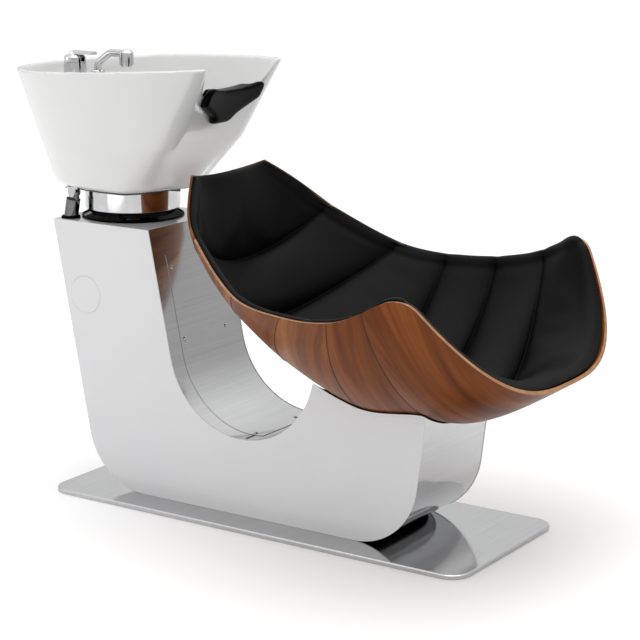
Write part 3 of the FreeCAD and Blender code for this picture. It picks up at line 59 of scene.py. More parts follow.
def placeCamera():
    data = bpy.data.cameras.new("photoCamera")
    data.lens = photoView["lens"]
    data.sensor_width = photoView["sensor"]
    data.clip_end = photoView["farthest"]
    shot = placed("photoCamera", data)
    shot.location = photoView["place"]
    shot.rotation_euler = (math.radians(90 - photoView["pitch"]), 0, math.radians(photoView["azimuth"]))
    bpy.context.scene.camera = shot


placeCamera()
bpy.context.scene.view_settings.view_transform = "Standard"

studio = {
    "floorSize": 44,
    "floorDrop": 0.0005,
    "floorTone": (0.93, 0.93, 0.93, 1),
    "floorRoughness": 0.75,
    "floorGlow": 0.10,
    "softbox": [
        # name, place, aim, width, height, watts
        ("keySoftbox", (-3.2, -2.2, 1.2), (-0.1, 0, 0.5), 1.6, 1.6, 9),
        ("topSoftbox", (0.3, 0.2, 4.2), (0.1, 0, 0), 4.0, 4.0, 40),
        ("lowSoftbox", (-0.5, -3.0, 0.35), (-0.1, -0.13, 0.0), 2.4, 0.5, 3),
    ],
    # how bright the sky is at the horizon, what it gains overhead and towards one side
    "horizon": 0.50,
    "overhead": 0.95,
    "overheadPower": 2.0,
    "leftGain": 0.22,
    "leftSide": (-0.75, 0.66, 0.0),
}


def setStudio():
    mesh = bpy.data.meshes.new("studioFloor")
    work = bmesh.new()
    bmesh.ops.create_grid(work, x_segments=1, y_segments=1, size=studio["floorSize"] / 2)
    bmesh.ops.translate(work, verts=work.verts, vec=(0, 0, -studio["floorDrop"]))
    work.to_mesh(mesh)
    work.free()
    floor = placed("studioFloor", mesh)
    surface = bpy.data.materials.new("studioFloor")
    surface.use_nodes = True
    tree = surface.node_tree
    shader = tree.nodes["Principled BSDF"]
    shader.inputs["Base Color"].default_value = studio["floorTone"]
    shader.inputs["Roughness"].default_value = studio["floorRoughness"]
    shader.inputs["Emission Color"].default_value = (1, 1, 1, 1)
    seen = tree.nodes.new("ShaderNodeLightPath").outputs["Is Camera Ray"]
    glow = mathOn(tree, "MULTIPLY", seen, studio["floorGlow"])
    tree.links.new(glow, shader.inputs["Emission Strength"])
    mesh.materials.append(surface)
    for name, place, aim, width, height, watts in studio["softbox"]:
        data = bpy.data.lights.new(name, "AREA")
        data.shape = "RECTANGLE"
        data.size = width
        data.size_y = height
        data.energy = watts
        lamp = placed(name, data)
        lamp.location = place
        lamp.visible_camera = False
        lamp.rotation_euler = (Vector(aim) - Vector(place)).to_track_quat("-Z", "Y").to_euler()
    setSky()


def setSky():
    # white behind the object; for light and reflections dim at the horizon and bright overhead
    world = bpy.data.worlds.new("studioSky")
    bpy.context.scene.world = world
    world.use_nodes = True
    tree = world.node_tree
    sky = tree.nodes["Background"]
    space = tree.nodes.new("ShaderNodeTexCoord").outputs["Generated"]
    parts = tree.nodes.new("ShaderNodeSeparateXYZ")
    tree.links.new(space, parts.inputs[0])
    height = mathOn(tree, "POWER", mathOn(tree, "MAXIMUM", parts.outputs["Z"], 0.0),
                    studio["overheadPower"])
    side = tree.nodes.new("ShaderNodeVectorMath")
    side.operation = "DOT_PRODUCT"
    tree.links.new(space, side.inputs[0])
    side.inputs[1].default_value = studio["leftSide"]
    left = mathOn(tree, "MAXIMUM", side.outputs["Value"], 0.0)
    left = mathOn(tree, "MULTIPLY", left, studio["leftGain"])
    glow = mathOn(tree, "MULTIPLY", height, studio["overhead"])
    glow = mathOn(tree, "ADD", mathOn(tree, "ADD", glow, studio["horizon"]), left)
    seen = tree.nodes.new("ShaderNodeLightPath").outputs["Is Camera Ray"]
    strength = mathOn(tree, "MAXIMUM", glow, seen)
    tree.links.new(strength, sky.inputs["Strength"])
    sky.inputs["Color"].default_value = (1, 1, 1, 1)


def mathOn(tree, operation, first, second):
    node = tree.nodes.new("ShaderNodeMath")
    node.operation = operation
    for socket, value in zip(node.inputs, (first, second)):
        if isinstance(value, float):
            socket.default_value = value
        else:
            tree.links.new(value, socket)
    return node.outputs[0]


setStudio()
print("camera, floor and lamps set")

# Finishes


def newFinish(name, **sockets):
    finish = bpy.data.materials.new(name)
    finish.use_nodes = True
    shader = finish.node_tree.nodes["Principled BSDF"]
    for socket, value in sockets.items():
        label = {"baseColor": "Base Color", "roughness": "Roughness", "metallic": "Metallic",
                 "coatWeight": "Coat Weight", "coatRoughness": "Coat Roughness",
                 "ior": "IOR", "specular": "Specular IOR Level"}[socket]
        shader.inputs[label].default_value = value
    return finish, finish.node_tree, shader


def patternSpace(tree, turn=(0, 0, 0), scale=(1, 1, 1), shift=(0, 0, 0)):
    # turned first, then scaled, so a stretched pattern can lie at any angle
    place = tree.nodes.new("ShaderNodeTexCoord")
    turned = tree.nodes.new("ShaderNodeMapping")
    turned.inputs["Rotation"].default_value = turn
    turned.inputs["Location"].default_value = shift
    tree.links.new(place.outputs["Object"], turned.inputs["Vector"])
    scaled = tree.nodes.new("ShaderNodeMapping")
    scaled.inputs["Scale"].default_value = scale
    tree.links.new(turned.outputs["Vector"], scaled.inputs["Vector"])
    return scaled.outputs["Vector"]


def noiseOn(tree, space, scale, detail=4, rough=0.5, twist=0):
    noise = tree.nodes.new("ShaderNodeTexNoise")
    tree.links.new(space, noise.inputs["Vector"])
    noise.inputs["Scale"].default_value = scale
    noise.inputs["Detail"].default_value = detail
    noise.inputs["Roughness"].default_value = rough
    noise.inputs["Distortion"].default_value = twist
    return noise.outputs["Fac"]


def cellsOn(tree, space, scale):
    cells = tree.nodes.new("ShaderNodeTexVoronoi")
    cells.feature = "DISTANCE_TO_EDGE"
    tree.links.new(space, cells.inputs["Vector"])
    cells.inputs["Scale"].default_value = scale
    return cells.outputs["Distance"]


def rampOn(tree, value, stops):
    ramp = tree.nodes.new("ShaderNodeValToRGB")
    tree.links.new(value, ramp.inputs["Fac"])
    points = ramp.color_ramp.elements
    while len(points) < len(stops):
        points.new(0.5)
    for point, (place, colour) in zip(points, stops):
        point.position = place
        point.color = (*colour, 1)
    return ramp.outputs["Color"]


def mottle(tree, shader, space, scale, detail, dark, light):
    tone = rampOn(tree, noiseOn(tree, space, scale, detail), [(0.3, dark), (0.7, light)])
    tree.links.new(tone, shader.inputs["Base Color"])


def rangeOn(tree, value, low, high):
    spread = tree.nodes.new("ShaderNodeMapRange")
    tree.links.new(value, spread.inputs["Value"])
    spread.inputs["To Min"].default_value = low
    spread.inputs["To Max"].default_value = high
    return spread.outputs["Result"]


def blendOn(tree, share, first, second, mode="MIX"):
    mixer = tree.nodes.new("ShaderNodeMix")
    mixer.data_type = "RGBA"
    mixer.blend_type = mode
    if isinstance(share, (int, float)):
        mixer.inputs["Factor"].default_value = share
    else:
        tree.links.new(share, mixer.inputs["Factor"])
    for value, label in ((first, "A"), (second, "B")):
        socket = [entry for entry in mixer.inputs if entry.name == label and entry.type == "RGBA"][0]
        if isinstance(value, tuple):
            socket.default_value = (*value, 1)
        else:
            tree.links.new(value, socket)
    return [entry for entry in mixer.outputs if entry.type == "RGBA"][0]


def bumpOn(tree, shader, layers):
    # each layer: height, strength, depth in metres
    normal = None
    for height, strength, depth in layers:
        bump = tree.nodes.new("ShaderNodeBump")
        bump.inputs["Strength"].default_value = strength
        bump.inputs["Distance"].default_value = depth
        tree.links.new(height, bump.inputs["Height"])
        if normal is not None:
            tree.links.new(normal, bump.inputs["Normal"])
        normal = bump.outputs["Normal"]
    tree.links.new(normal, shader.inputs["Normal"])


def whiteLacquer():
    finish, tree, shader = newFinish("whiteLacquer", roughness=0.16, coatWeight=0.6, coatRoughness=0.05)
    space = patternSpace(tree)
    mottle(tree, shader, space, 2.3, 3, (0.70, 0.70, 0.715), (0.74, 0.74, 0.75))
    tree.links.new(rangeOn(tree, noiseOn(tree, space, 22, 4), 0.12, 0.22), shader.inputs["Roughness"])
    bumpOn(tree, shader, [(noiseOn(tree, space, 260, 2), 0.05, 0.0004)])
    return finish


def polishedSteel(name="polishedSteel", stretch=(3, 3, 240), gloss=(0.05, 0.13)):
    finish, tree, shader = newFinish(name, metallic=1.0, roughness=0.1)
    streaks = patternSpace(tree, scale=stretch)
    even = patternSpace(tree)
    line = noiseOn(tree, streaks, 1.0, 6, 0.6)
    cloud = noiseOn(tree, even, 5, 3)
    tone = rampOn(tree, line, [(0.25, (0.53, 0.535, 0.54)), (0.75, (0.63, 0.63, 0.635))])
    shade = rampOn(tree, cloud, [(0.3, (0.48, 0.48, 0.49)), (0.7, (0.66, 0.66, 0.66))])
    tone = blendOn(tree, 0.25, tone, shade)
    tree.links.new(tone, shader.inputs["Base Color"])
    tree.links.new(rangeOn(tree, line, gloss[0], gloss[1]), shader.inputs["Roughness"])
    bumpOn(tree, shader, [(noiseOn(tree, even, 7, 2), 0.10, 0.002), (line, 0.02, 0.0003)])
    return finish


def brightChrome(name="brightChrome", low=0.54, high=0.64):
    finish, tree, shader = newFinish(name, metallic=1.0, roughness=0.05)
    space = patternSpace(tree)
    mottle(tree, shader, space, 30, 3, (low, low, low * 1.02), (high, high, high * 1.01))
    tree.links.new(rangeOn(tree, noiseOn(tree, space, 160, 4), 0.03, 0.09), shader.inputs["Roughness"])
    bumpOn(tree, shader, [(noiseOn(tree, space, 90, 2), 0.03, 0.0003)])
    return finish


def powderCoat():
    finish, tree, shader = newFinish("darkPowderCoat", roughness=0.5)
    space = patternSpace(tree)
    mottle(tree, shader, space, 40, 3, (0.045, 0.045, 0.047), (0.065, 0.065, 0.068))
    bumpOn(tree, shader, [(noiseOn(tree, space, 900, 2), 0.2, 0.0003)])
    return finish


def ceramicGlaze():
    finish, tree, shader = newFinish("ceramicGlaze", roughness=0.1, coatWeight=0.8, coatRoughness=0.03,
                                     ior=1.5)
    space = patternSpace(tree)
    mottle(tree, shader, space, 3.1, 3, (0.72, 0.72, 0.715), (0.76, 0.76, 0.755))
    tree.links.new(rangeOn(tree, noiseOn(tree, space, 18, 4), 0.07, 0.14), shader.inputs["Roughness"])
    bumpOn(tree, shader, [(noiseOn(tree, space, 9, 2), 0.06, 0.003),
                          (noiseOn(tree, space, 240, 2), 0.02, 0.0003)])
    return finish


def walnutVeneer(name, turn, seed, paintedShadeTint):
    # the grain follows the rib direction; turn is the lean of that direction about Y
    finish, tree, shader = newFinish(name, roughness=0.4, coatWeight=0.04, coatRoughness=0.2,
                                     specular=0.12)
    lean = (0, turn, 0)
    shift = (seed, seed * 0.7, seed * 1.3)
    broad = patternSpace(tree, lean, (26, 1.3, 1.3), shift)
    wavy = patternSpace(tree, lean, (9, 1.6, 1.6), shift)
    pores = patternSpace(tree, lean, (1500, 26, 26), shift)
    fine = patternSpace(tree, lean, (230, 5, 5), shift)
    rings = noiseOn(tree, broad, 1.0, 7, 0.6, 0.6)
    cloud = noiseOn(tree, wavy, 1.0, 3, 0.5, 0.8)
    tone = rampOn(tree, rings, [(0.27, (0.100, 0.028, 0.006)), (0.41, (0.190, 0.057, 0.012)),
                                (0.55, (0.300, 0.097, 0.020)), (0.74, (0.410, 0.150, 0.034))])
    shade = rampOn(tree, cloud, [(0.32, (0.70, 0.66, 0.62)), (0.66, (1.0, 1.0, 1.0))])
    tone = blendOn(tree, 0.8, tone, shade, "MULTIPLY")
    lines = rampOn(tree, noiseOn(tree, fine, 1.0, 5, 0.6),
                   [(0.36, (0.74, 0.70, 0.68)), (0.52, (1.0, 1.0, 1.0))])
    tone = blendOn(tree, 0.6, tone, lines, "MULTIPLY")
    poreMark = rampOn(tree, noiseOn(tree, pores, 1.0, 2, 0.5),
                      [(0.33, (0.50, 0.45, 0.43)), (0.42, (1, 1, 1))])
    tone = blendOn(tree, 0.5, tone, poreMark, "MULTIPLY")
    # painted shade: the stave's tint darkens the whole veneer
    tone = blendOn(tree, 1.0, tone, paintedShadeTint, "MULTIPLY")
    tree.links.new(tone, shader.inputs["Base Color"])
    tree.links.new(rangeOn(tree, rings, 0.44, 0.30), shader.inputs["Roughness"])
    bumpOn(tree, shader, [(noiseOn(tree, pores, 1.0, 2, 0.5), 0.10, 0.0004), (rings, 0.04, 0.0006)])
    return finish


def plyEdge():
    finish, tree, shader = newFinish("plyEdge", roughness=0.42)
    space = patternSpace(tree)
    mottle(tree, shader, space, 60, 5, (0.30, 0.135, 0.055), (0.47, 0.235, 0.105))
    bumpOn(tree, shader, [(noiseOn(tree, space, 700, 3), 0.15, 0.0003)])
    return finish


def blackLeatherette():
    finish, tree, shader = newFinish("blackLeatherette", roughness=0.42, specular=0.09)
    space = patternSpace(tree)
    cloud = noiseOn(tree, space, 9, 4)
    tone = rampOn(tree, cloud, [(0.3, (0.0009, 0.0010, 0.0009)), (0.7, (0.0018, 0.0020, 0.0018))])
    tree.links.new(tone, shader.inputs["Base Color"])
    pebble = cellsOn(tree, space, 620)
    pores = noiseOn(tree, space, 1900, 2)
    tree.links.new(rangeOn(tree, cloud, 0.38, 0.5), shader.inputs["Roughness"])
    bumpOn(tree, shader, [(pebble, 0.16, 0.0003), (pores, 0.06, 0.0002)])
    return finish


def blackGel(name="blackGel", rough=0.3, grain=420):
    finish, tree, shader = newFinish(name, roughness=rough, specular=0.035)
    space = patternSpace(tree)
    mottle(tree, shader, space, 24, 3, (0.0005, 0.0005, 0.0005), (0.0010, 0.0010, 0.0010))
    gloss = rangeOn(tree, noiseOn(tree, space, 60, 3), rough - 0.05, rough + 0.08)
    tree.links.new(gloss, shader.inputs["Roughness"])
    bumpOn(tree, shader, [(noiseOn(tree, space, grain, 3), 0.10, 0.0004)])
    return finish


def whitePlastic():
    finish, tree, shader = newFinish("whitePlastic", roughness=0.38)
    space = patternSpace(tree)
    mottle(tree, shader, space, 30, 3, (0.68, 0.68, 0.67), (0.76, 0.76, 0.75))
    bumpOn(tree, shader, [(noiseOn(tree, space, 500, 2), 0.1, 0.0003)])
    return finish


def plainBrass():
    finish, tree, shader = newFinish("plainBrass", metallic=1.0, roughness=0.25)
    space = patternSpace(tree)
    mottle(tree, shader, space, 50, 3, (0.52, 0.36, 0.13), (0.68, 0.50, 0.21))
    bumpOn(tree, shader, [(noiseOn(tree, space, 300, 3), 0.1, 0.0003)])
    return finish


def hoseBraid():
    finish, tree, shader = newFinish("hoseBraid", metallic=0.85, roughness=0.4)
    space = patternSpace(tree, turn=(0.5, 0.5, 0))
    weave = cellsOn(tree, space, 700)
    tone = rampOn(tree, weave, [(0.05, (0.12, 0.12, 0.12)), (0.35, (0.5, 0.5, 0.51))])
    tree.links.new(tone, shader.inputs["Base Color"])
    bumpOn(tree, shader, [(weave, 0.5, 0.0005)])
    return finish


# dark lines along the joints between staves: the joints are real, their darkness is painted shade standing
# in for a groove
def seamPaintedGrooveShade():
    finish, tree, shader = newFinish("seamPaintedGrooveShade", roughness=0.7)
    space = patternSpace(tree)
    mottle(tree, shader, space, 300, 2, (0.018, 0.008, 0.004), (0.035, 0.016, 0.008))
    return finish


finishes = {
    "lacquer": whiteLacquer(), "steel": polishedSteel(),
    "plateSteel": polishedSteel("baseSteel", (220, 3, 3), (0.06, 0.15)),
    # the strut tubes get a copy of the chrome with its colour darkened: a painted dark reflection
    "chrome": brightChrome(), "chromePaintedDarkReflection": brightChrome("chromePaintedDarkReflection", 0.13, 0.2),
    "powder": powderCoat(), "ceramic": ceramicGlaze(), "plyEdge": plyEdge(),
    "leatherette": blackLeatherette(), "gel": blackGel(), "rubber": blackGel("blackRubber", 0.5, 700),
    "plastic": whitePlastic(), "brass": plainBrass(), "braid": hoseBraid(), "seam": seamPaintedGrooveShade(),
}
nodeFinishes = {
    "lacquer": ["side_panel_right", "side_panel_left", "side_cap", "tower_top_plate"],
    "steel": ["rear_cover", "inner_cover", "front_cover", "access_panel", "access_screws"],
    "plateSteel": ["base_plate"],
    "powder": ["head_plate", "seat_post", "seat_saddle", "seat_bolts", "frame_rails", "tilt_yokes",
               "basin_carrier", "pipe_bracket"],
    "ceramic": ["basin"],
    "chrome": ["tilt_cup", "strut_brackets", "tilt_pins", "strut_pins", "strut_rod_right",
               "strut_rod_left", "mixer_body", "mixer_cap", "lever_pin", "mixer_lever", "spray_holder",
               "hand_spray", "drain_flange", "drain_strainer"],
    # painted dark reflection: the strut tubes take the darkened chrome copy
    "chromePaintedDarkReflection": ["strut_tube_right", "strut_tube_left"],
    "rubber": ["cup_gasket", "strut_collars", "waste_boot"],
    "gel": ["neck_rest"],
    "plastic": ["waste_trap", "tailpiece", "basin_nuts"],
    "brass": ["stop_valves", "supply_pipes", "valve_handle_cold", "valve_handle_hot"],
    "braid": ["supply_hoses", "spray_hose"],
    "leatherette": ["cushion_panel_%d" % n for n in range(1, 7)],
}


def dress(piece, finish):
    piece.data.materials.clear()
    piece.data.materials.append(finish)


for finishName, names in nodeFinishes.items():
    for name in names:
        dress(nodes[name], finishes[finishName])
print("finishes made")

# Lounge shell: the same ribs as the CAD, in metres

shellRibs = {
    "back": -0.195, "length": 0.843, "keel": 0.252, "rise": 0.476, "half": 0.395, "ply": 0.008,
    "flick": 0.10, "flickPower": 9.0,
    # rim x, rim half width, rim height, keel x, keel height, power, as shares
    "rows": [(0.027, 0.337, 1.000, 0.000, 0.966, 2.0), (0.083, 0.527, 0.882, 0.018, 0.773, 2.0),
             (0.139, 0.633, 0.777, 0.053, 0.573, 1.9), (0.314, 0.823, 0.597, 0.172, 0.332, 1.6),
             (0.480, 0.916, 0.561, 0.273, 0.164, 1.6), (0.629, 0.987, 0.584, 0.492, 0.000, 1.6),
             (0.724, 1.000, 0.647, 0.688, 0.021, 1.7), (0.765, 0.975, 0.690, 0.825, 0.071, 2.3),
             (0.813, 0.932, 0.718, 1.000, 0.250, 3.0)],
    "staveEnds": [(0, 2), (2, 3), (3, 4), (4, 5), (5, 6), (6, 8)],
    # painted shade: each stave's veneer is multiplied by its tint, darker towards the foot end, where the
    # shell gets less light
    "paintedShadeTints": [(1.0, 1.0, 1.0), (0.98, 0.97, 0.96), (0.92, 0.88, 0.84), (0.96, 0.92, 0.88),
              (0.70, 0.60, 0.52), (0.70, 0.60, 0.52)],
    # below this angle in degrees two faces of a stave belong to one side
    "sideAngle": 50,
    "seamRadius": 0.0008, "seamLift": 0.0001, "seamSteps": 60,
}
weldGap = 0.00002


def ribAt(station):
    rows = shellRibs["rows"]
    low = min(int(station), len(rows) - 2)
    part = station - low
    four = [rows[min(max(low + step, 0), len(rows) - 1)] for step in (-1, 0, 1, 2)]
    row = []
    for before, first, second, after in zip(*four):
        into, out, step = (second - before) / 2, (after - first) / 2, second - first
        row.append(first + into * part + (3 * step - 2 * into - out) * part ** 2
                   + (into + out - 2 * step) * part ** 3)
    rim = Vector((shellRibs["back"] + row[0] * shellRibs["length"], row[1] * shellRibs["half"],
                  shellRibs["keel"] + row[2] * shellRibs["rise"]))
    keel = Vector((shellRibs["back"] + row[3] * shellRibs["length"], 0,
                   shellRibs["keel"] + row[4] * shellRibs["rise"]))
    return rim, keel, row[5]


def shellPoint(station, share, inset):
    rim, keel, power = ribAt(station)
    run = Vector((rim.x - keel.x, 0, rim.z - keel.z))
    start = keel + run.normalized() * inset
    flick = shellRibs["flick"]
    rise = (1 - flick) * abs(share) ** power + flick * abs(share) ** shellRibs["flickPower"]
    along = Vector((rim.x - start.x, 0, rim.z - start.z)) * rise
    return Vector((start.x + along.x, (rim.y - inset) * share, start.z + along.z))


def finishStaves():
    for number, (first, last) in enumerate(shellRibs["staveEnds"]):
        rim, keel, power = ribAt((first + last) / 2)
        turn = math.atan2(rim.x - keel.x, rim.z - keel.z)
        seed = 1.7 * number + 0.6
        veneer = walnutVeneer("walnut%d" % (number + 1), -turn, seed, shellRibs["paintedShadeTints"][number])
        stave = nodes["shell_stave_%d" % (number + 1)]
        dress(stave, veneer)
        stave.data.materials.append(finishes["plyEdge"])
        for index in edgeFaces(stave):
            stave.data.polygons[index].material_index = 1


def edgeFaces(stave):
    # every face but the two large sides, which hold the veneer
    work = bmesh.new()
    work.from_mesh(stave.data)
    number = work.faces.layers.int.new("number")
    for face in work.faces:
        face[number] = face.index
    bmesh.ops.remove_doubles(work, verts=work.verts, dist=weldGap)
    sides = []
    least = math.radians(shellRibs["sideAngle"])
    waiting = set(work.faces)
    while waiting:
        side = [waiting.pop()]
        for face in side:
            for edge in face.edges:
                if len(edge.link_faces) == 2 and edge.calc_face_angle() < least:
                    for other in edge.link_faces:
                        if other in waiting:
                            waiting.remove(other)
                            side.append(other)
        sides.append((sum(face.calc_area() for face in side), [face[number] for face in side]))
    work.free()
    sides.sort()
    return [index for area, side in sides[:-2] for index in side]


def tubeAlong(name, points, radius, finish, closed=False):
    data = bpy.data.curves.new(name, "CURVE")
    data.dimensions = "3D"
    data.bevel_depth = radius
    data.bevel_resolution = 3
    data.use_fill_caps = True
    line = data.splines.new("POLY")
    line.points.add(len(points) - 1)
    for spot, place in zip(line.points, points):
        spot.co = (*place, 1)
    line.use_cyclic_u = closed
    piece = bpy.data.objects.new(name, data)
    mesh = bpy.data.meshes.new_from_object(piece)
    bpy.data.objects.remove(piece)
    mesh.name = name
    piece = placed(name, mesh)
    smoothFaces(piece)
    dress(piece, finish)
    return piece


def smoothFaces(piece):
    for face in piece.data.polygons:
        face.use_smooth = True


def staveSeams():
    # a thin dark tube along each stave joint: painted shade of the groove there
    steps = shellRibs["seamSteps"]
    for number, (station, last) in enumerate(shellRibs["staveEnds"][1:]):
        points = [shellPoint(station, 2 * step / steps - 1, -shellRibs["seamLift"])
                  for step in range(steps + 1)]
        piece = tubeAlong("staveSeam%d" % (number + 1), points, shellRibs["seamRadius"],
                          finishes["seam"])
        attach(piece, "pedestal")


finishStaves()
staveSeams()
print("lounge shell dressed")

# Pieces that soften a CAD node's own shape


def meshCopy(node, name):
    mesh = nodes[node].data.copy()
    mesh.name = name
    work = bmesh.new()
    work.from_mesh(mesh)
    bmesh.ops.remove_doubles(work, verts=work.verts, dist=weldGap)
    work.to_mesh(mesh)
    work.free()
    return placed(name, mesh)


def remeshed(piece, voxel):
    grid = piece.modifiers.new("voxels", "REMESH")
    grid.mode = "VOXEL"
    grid.voxel_size = voxel
    settle(piece)


def settle(piece):
    # keeps the modified mesh and drops the modifiers
    bpy.context.view_layer.update()
    shaped = piece.evaluated_get(bpy.context.evaluated_depsgraph_get())
    mesh = bpy.data.meshes.new_from_object(shaped)
    piece.modifiers.clear()
    old = piece.data
    piece.data = mesh
    bpy.data.meshes.remove(old)


def relaxed(piece, rounds, factor, moving=None):
    # moving holds the numbers of the points that may move, or nothing for all of them
    work = bmesh.new()
    work.from_mesh(piece.data)
    work.verts.ensure_lookup_table()
    points = work.verts if moving is None else [work.verts[n] for n in moving]
    for turn in range(rounds):
        bmesh.ops.smooth_vert(work, verts=points, factor=factor, use_axis_x=True, use_axis_y=True,
                              use_axis_z=True)
    work.to_mesh(piece.data)
    work.free()
    smoothFaces(piece)


softCopies = {
    "ceramicBasin": {"node": "basin", "voxel": 0.0031, "rounds": 14, "factor": 0.5, "finish": "ceramic",
                     "body": "basin", "slot": "ceramic"},
    "gelNeckRest": {"node": "neck_rest", "voxel": 0.0024, "rounds": 40, "factor": 0.5, "finish": "gel",
                    "body": "neck_rest", "slot": "black_rubber"},
}
# the bore for the hand spray runs on below its hose and breaks through the wall: its lower end is filled
sprayBore = {"centre": (-0.604, 0.092), "radius": 0.014, "slack": 0.0004, "low": 0.775, "high": 0.808,
             "level": 0.0001}


def fillBore(mesh):
    centre = Vector(sprayBore["centre"])
    work = bmesh.new()
    work.from_mesh(mesh)
    bmesh.ops.bisect_plane(work, geom=work.verts[:] + work.edges[:] + work.faces[:], dist=0.00001,
                           plane_co=(0.0, 0.0, sprayBore["high"]), plane_no=(0.0, 0.0, 1.0))
    bore = []
    for face in work.faces:
        reach = [(v.co.xy - centre).length - sprayBore["radius"] for v in face.verts]
        heights = [v.co.z for v in face.verts]
        side = max(heights) < sprayBore["high"] + sprayBore["level"] and min(reach) > -sprayBore["slack"]
        end = max(abs(height - sprayBore["low"]) for height in heights) < sprayBore["level"]
        if max(reach) < sprayBore["slack"] and (side or end):
            bore.append(face)
    bmesh.ops.delete(work, geom=bore, context="FACES")
    edges = [edge for edge in work.edges if edge.is_boundary]
    filled = bmesh.ops.holes_fill(work, edges=edges, sides=0)["faces"]
    print("bore filled:", len(bore), "faces out,", len(edges), "edges,", len(filled), "faces in")
    work.to_mesh(mesh)
    work.free()


def makeSoftCopies():
    for name, facts in softCopies.items():
        piece = meshCopy(facts["node"], name)
        if name == "ceramicBasin":
            fillBore(piece.data)
        remeshed(piece, facts["voxel"])
        relaxed(piece, facts["rounds"], facts["factor"])
        dress(piece, finishes[facts["finish"]])
        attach(piece, facts["body"])
        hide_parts(facts["node"])
        print(name, len(piece.data.polygons), "faces")


makeSoftCopies()

sealRing = {"radius": 0.1107, "thickness": 0.0022, "height": 0.6022, "centre": -0.435, "sides": 120}


def makeSealRing():
    turns = [math.tau * n / sealRing["sides"] for n in range(sealRing["sides"])]
    points = [Vector((sealRing["centre"] + sealRing["radius"] * math.cos(turn),
                      sealRing["radius"] * math.sin(turn), sealRing["height"])) for turn in turns]
    ring = tubeAlong("cupSealRing", points, sealRing["thickness"], finishes["rubber"], closed=True)
    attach(ring, "pedestal")
    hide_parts("cup_gasket")


makeSealRing()

# each hose runs across a joint between two bodies; its copy keeps the CAD shape and does not bend
hoseBends = {
    "supplyHosePair": {"node": "supply_hoses", "bodies": ("pedestal", "basin"),
                       "start": (-0.475, 0, 0.530), "end": (-0.475, 0, 0.665)},
    "sprayHoseLoop": {"node": "spray_hose", "bodies": ("basin", "hand_spray"),
                      "start": (-0.604, 0.079, 0.840), "end": (-0.604, 0.0905, 0.840)},
}


def makeHoses():
    for name, facts in hoseBends.items():
        piece = meshCopy(facts["node"], name)
        smoothFaces(piece)
        dress(piece, finishes["braid"])
        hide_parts(facts["node"])
        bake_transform(piece)


makeHoses()
print("basin, neck rest, seal and hoses made")

# Cushion: one stuffed cover, sewn down along its channels, with a smooth roll round its edge

cushionPlan = {
    # centre x, centre height, rim x, rim height of each row, as shares: both ends and five channels
    "rows": [(0.006, 0.967, 0.029, 0.996), (0.113, 0.700, 0.143, 0.773), (0.231, 0.447, 0.310, 0.600),
             (0.433, 0.237, 0.433, 0.568), (0.587, 0.164, 0.563, 0.573), (0.765, 0.153, 0.686, 0.643),
             (0.992, 0.252, 0.8135, 0.714)],
    "steps": [0, 0.012, 0.03, 0.06, 0.10, 0.15, 0.21, 0.28, 0.36, 0.44, 0.52, 0.60, 0.68, 0.75, 0.81, 0.87,
              0.92, 0.96, 0.985],
    "columns": 36, "under": 0.0105, "base": 0.016, "crown": 0.020, "crownPower": 2.6,
    "groove": 0.0140, "grooveWidth": 0.017, "sideFade": (0.7, 0.7, 0.4, 0.3, 0.3), "fadeRun": 0.035,
    "rollLeast": 0.15, "rollDip": 0.5, "rollDipWidth": 0.010,
    "borderRun": (0.024, 0.040), "borderDip": 0.0034, "borderWidth": 0.007,
    "endRound": 0.019, "endLeast": 0.002,
    # inset and lift of the roll over the rim, from the ply inwards
    "roll": [(0.0086, -0.002), (0.0086, 0.0012), (0.0102, 0.0040), (0.0135, 0.0058), (0.0175, 0.0060),
             (0.0215, 0.0046), (0.0250, 0.0016)],
    # under the rim: how far outwards, how far down at first and with every step
    "tuck": (0.0015, 0.003, 0.0012),
    "tipRadius": 0.048, "tipWidth": 0.040, "tipRise": 0.003,
    # sewn down: this share of a panel at each channel, and these at the two ends
    "sewnShare": 0.02, "sewnEnds": (0.07, 0.05),
    "evenRounds": 2, "evenFactor": 0.5, "halvings": 20,
}


def rowPlane(place):
    # the upright plane that a row of the cover lies in, turned about Y
    rows = cushionPlan["rows"]
    low = min(int(place), len(rows) - 2)
    row = [first + (second - first) * (place - low) for first, second in zip(rows[low], rows[low + 1])]
    ends = [Vector((shellRibs["back"] + row[n] * shellRibs["length"], 0,
                    shellRibs["keel"] + row[n + 1] * shellRibs["rise"])) for n in (0, 2)]
    along = (ends[1] - ends[0]).normalized()
    return ends[0], Vector((along.z, 0, -along.x))


def stationOn(plane, share):
    centre, normal = plane
    low, high = 0.0, len(shellRibs["rows"]) - 1.0
    for turn in range(cushionPlan["halvings"]):
        middle = (low + high) / 2
        if (shellPoint(middle, share, cushionPlan["under"]) - centre).dot(normal) < 0:
            low = middle
        else:
            high = middle
    return (low + high) / 2


def lengthsAlong(points):
    runs = [0.0]
    for first, second in zip(points, points[1:]):
        runs.append(runs[-1] + (second - first).length)
    return runs


def roundedTip(point):
    # the front wing tips are cut to a curve, seen from the side
    last = len(shellRibs["rows"]) - 1
    rim, keel, power = ribAt(last)
    before = ribAt(last - 1)[0]
    back = Vector((before.x - rim.x, 0, before.z - rim.z)).normalized()
    down = Vector((keel.x - rim.x, 0, keel.z - rim.z)).normalized()
    inward = (back + down).normalized()
    half = back.angle(down) / 2
    radius = cushionPlan["tipRadius"]
    centre = Vector((rim.x, 0, rim.z)) + inward * ((radius - cushionPlan["tipRise"]) / math.sin(half))
    out = Vector((point.x - centre.x, 0, point.z - centre.z))
    inner = radius - cushionPlan["tipWidth"]
    if out.length < inner or out.length == 0:
        return point
    lean = out.angle(-inward)
    spread = math.pi / 2 - half
    if lean > spread:
        return point
    reach = radius / math.cos(spread - lean)
    run = inner + (out.length - inner) * (radius - inner) / (reach - inner)
    moved = centre + out.normalized() * run
    return Vector((moved.x, point.y, moved.z))


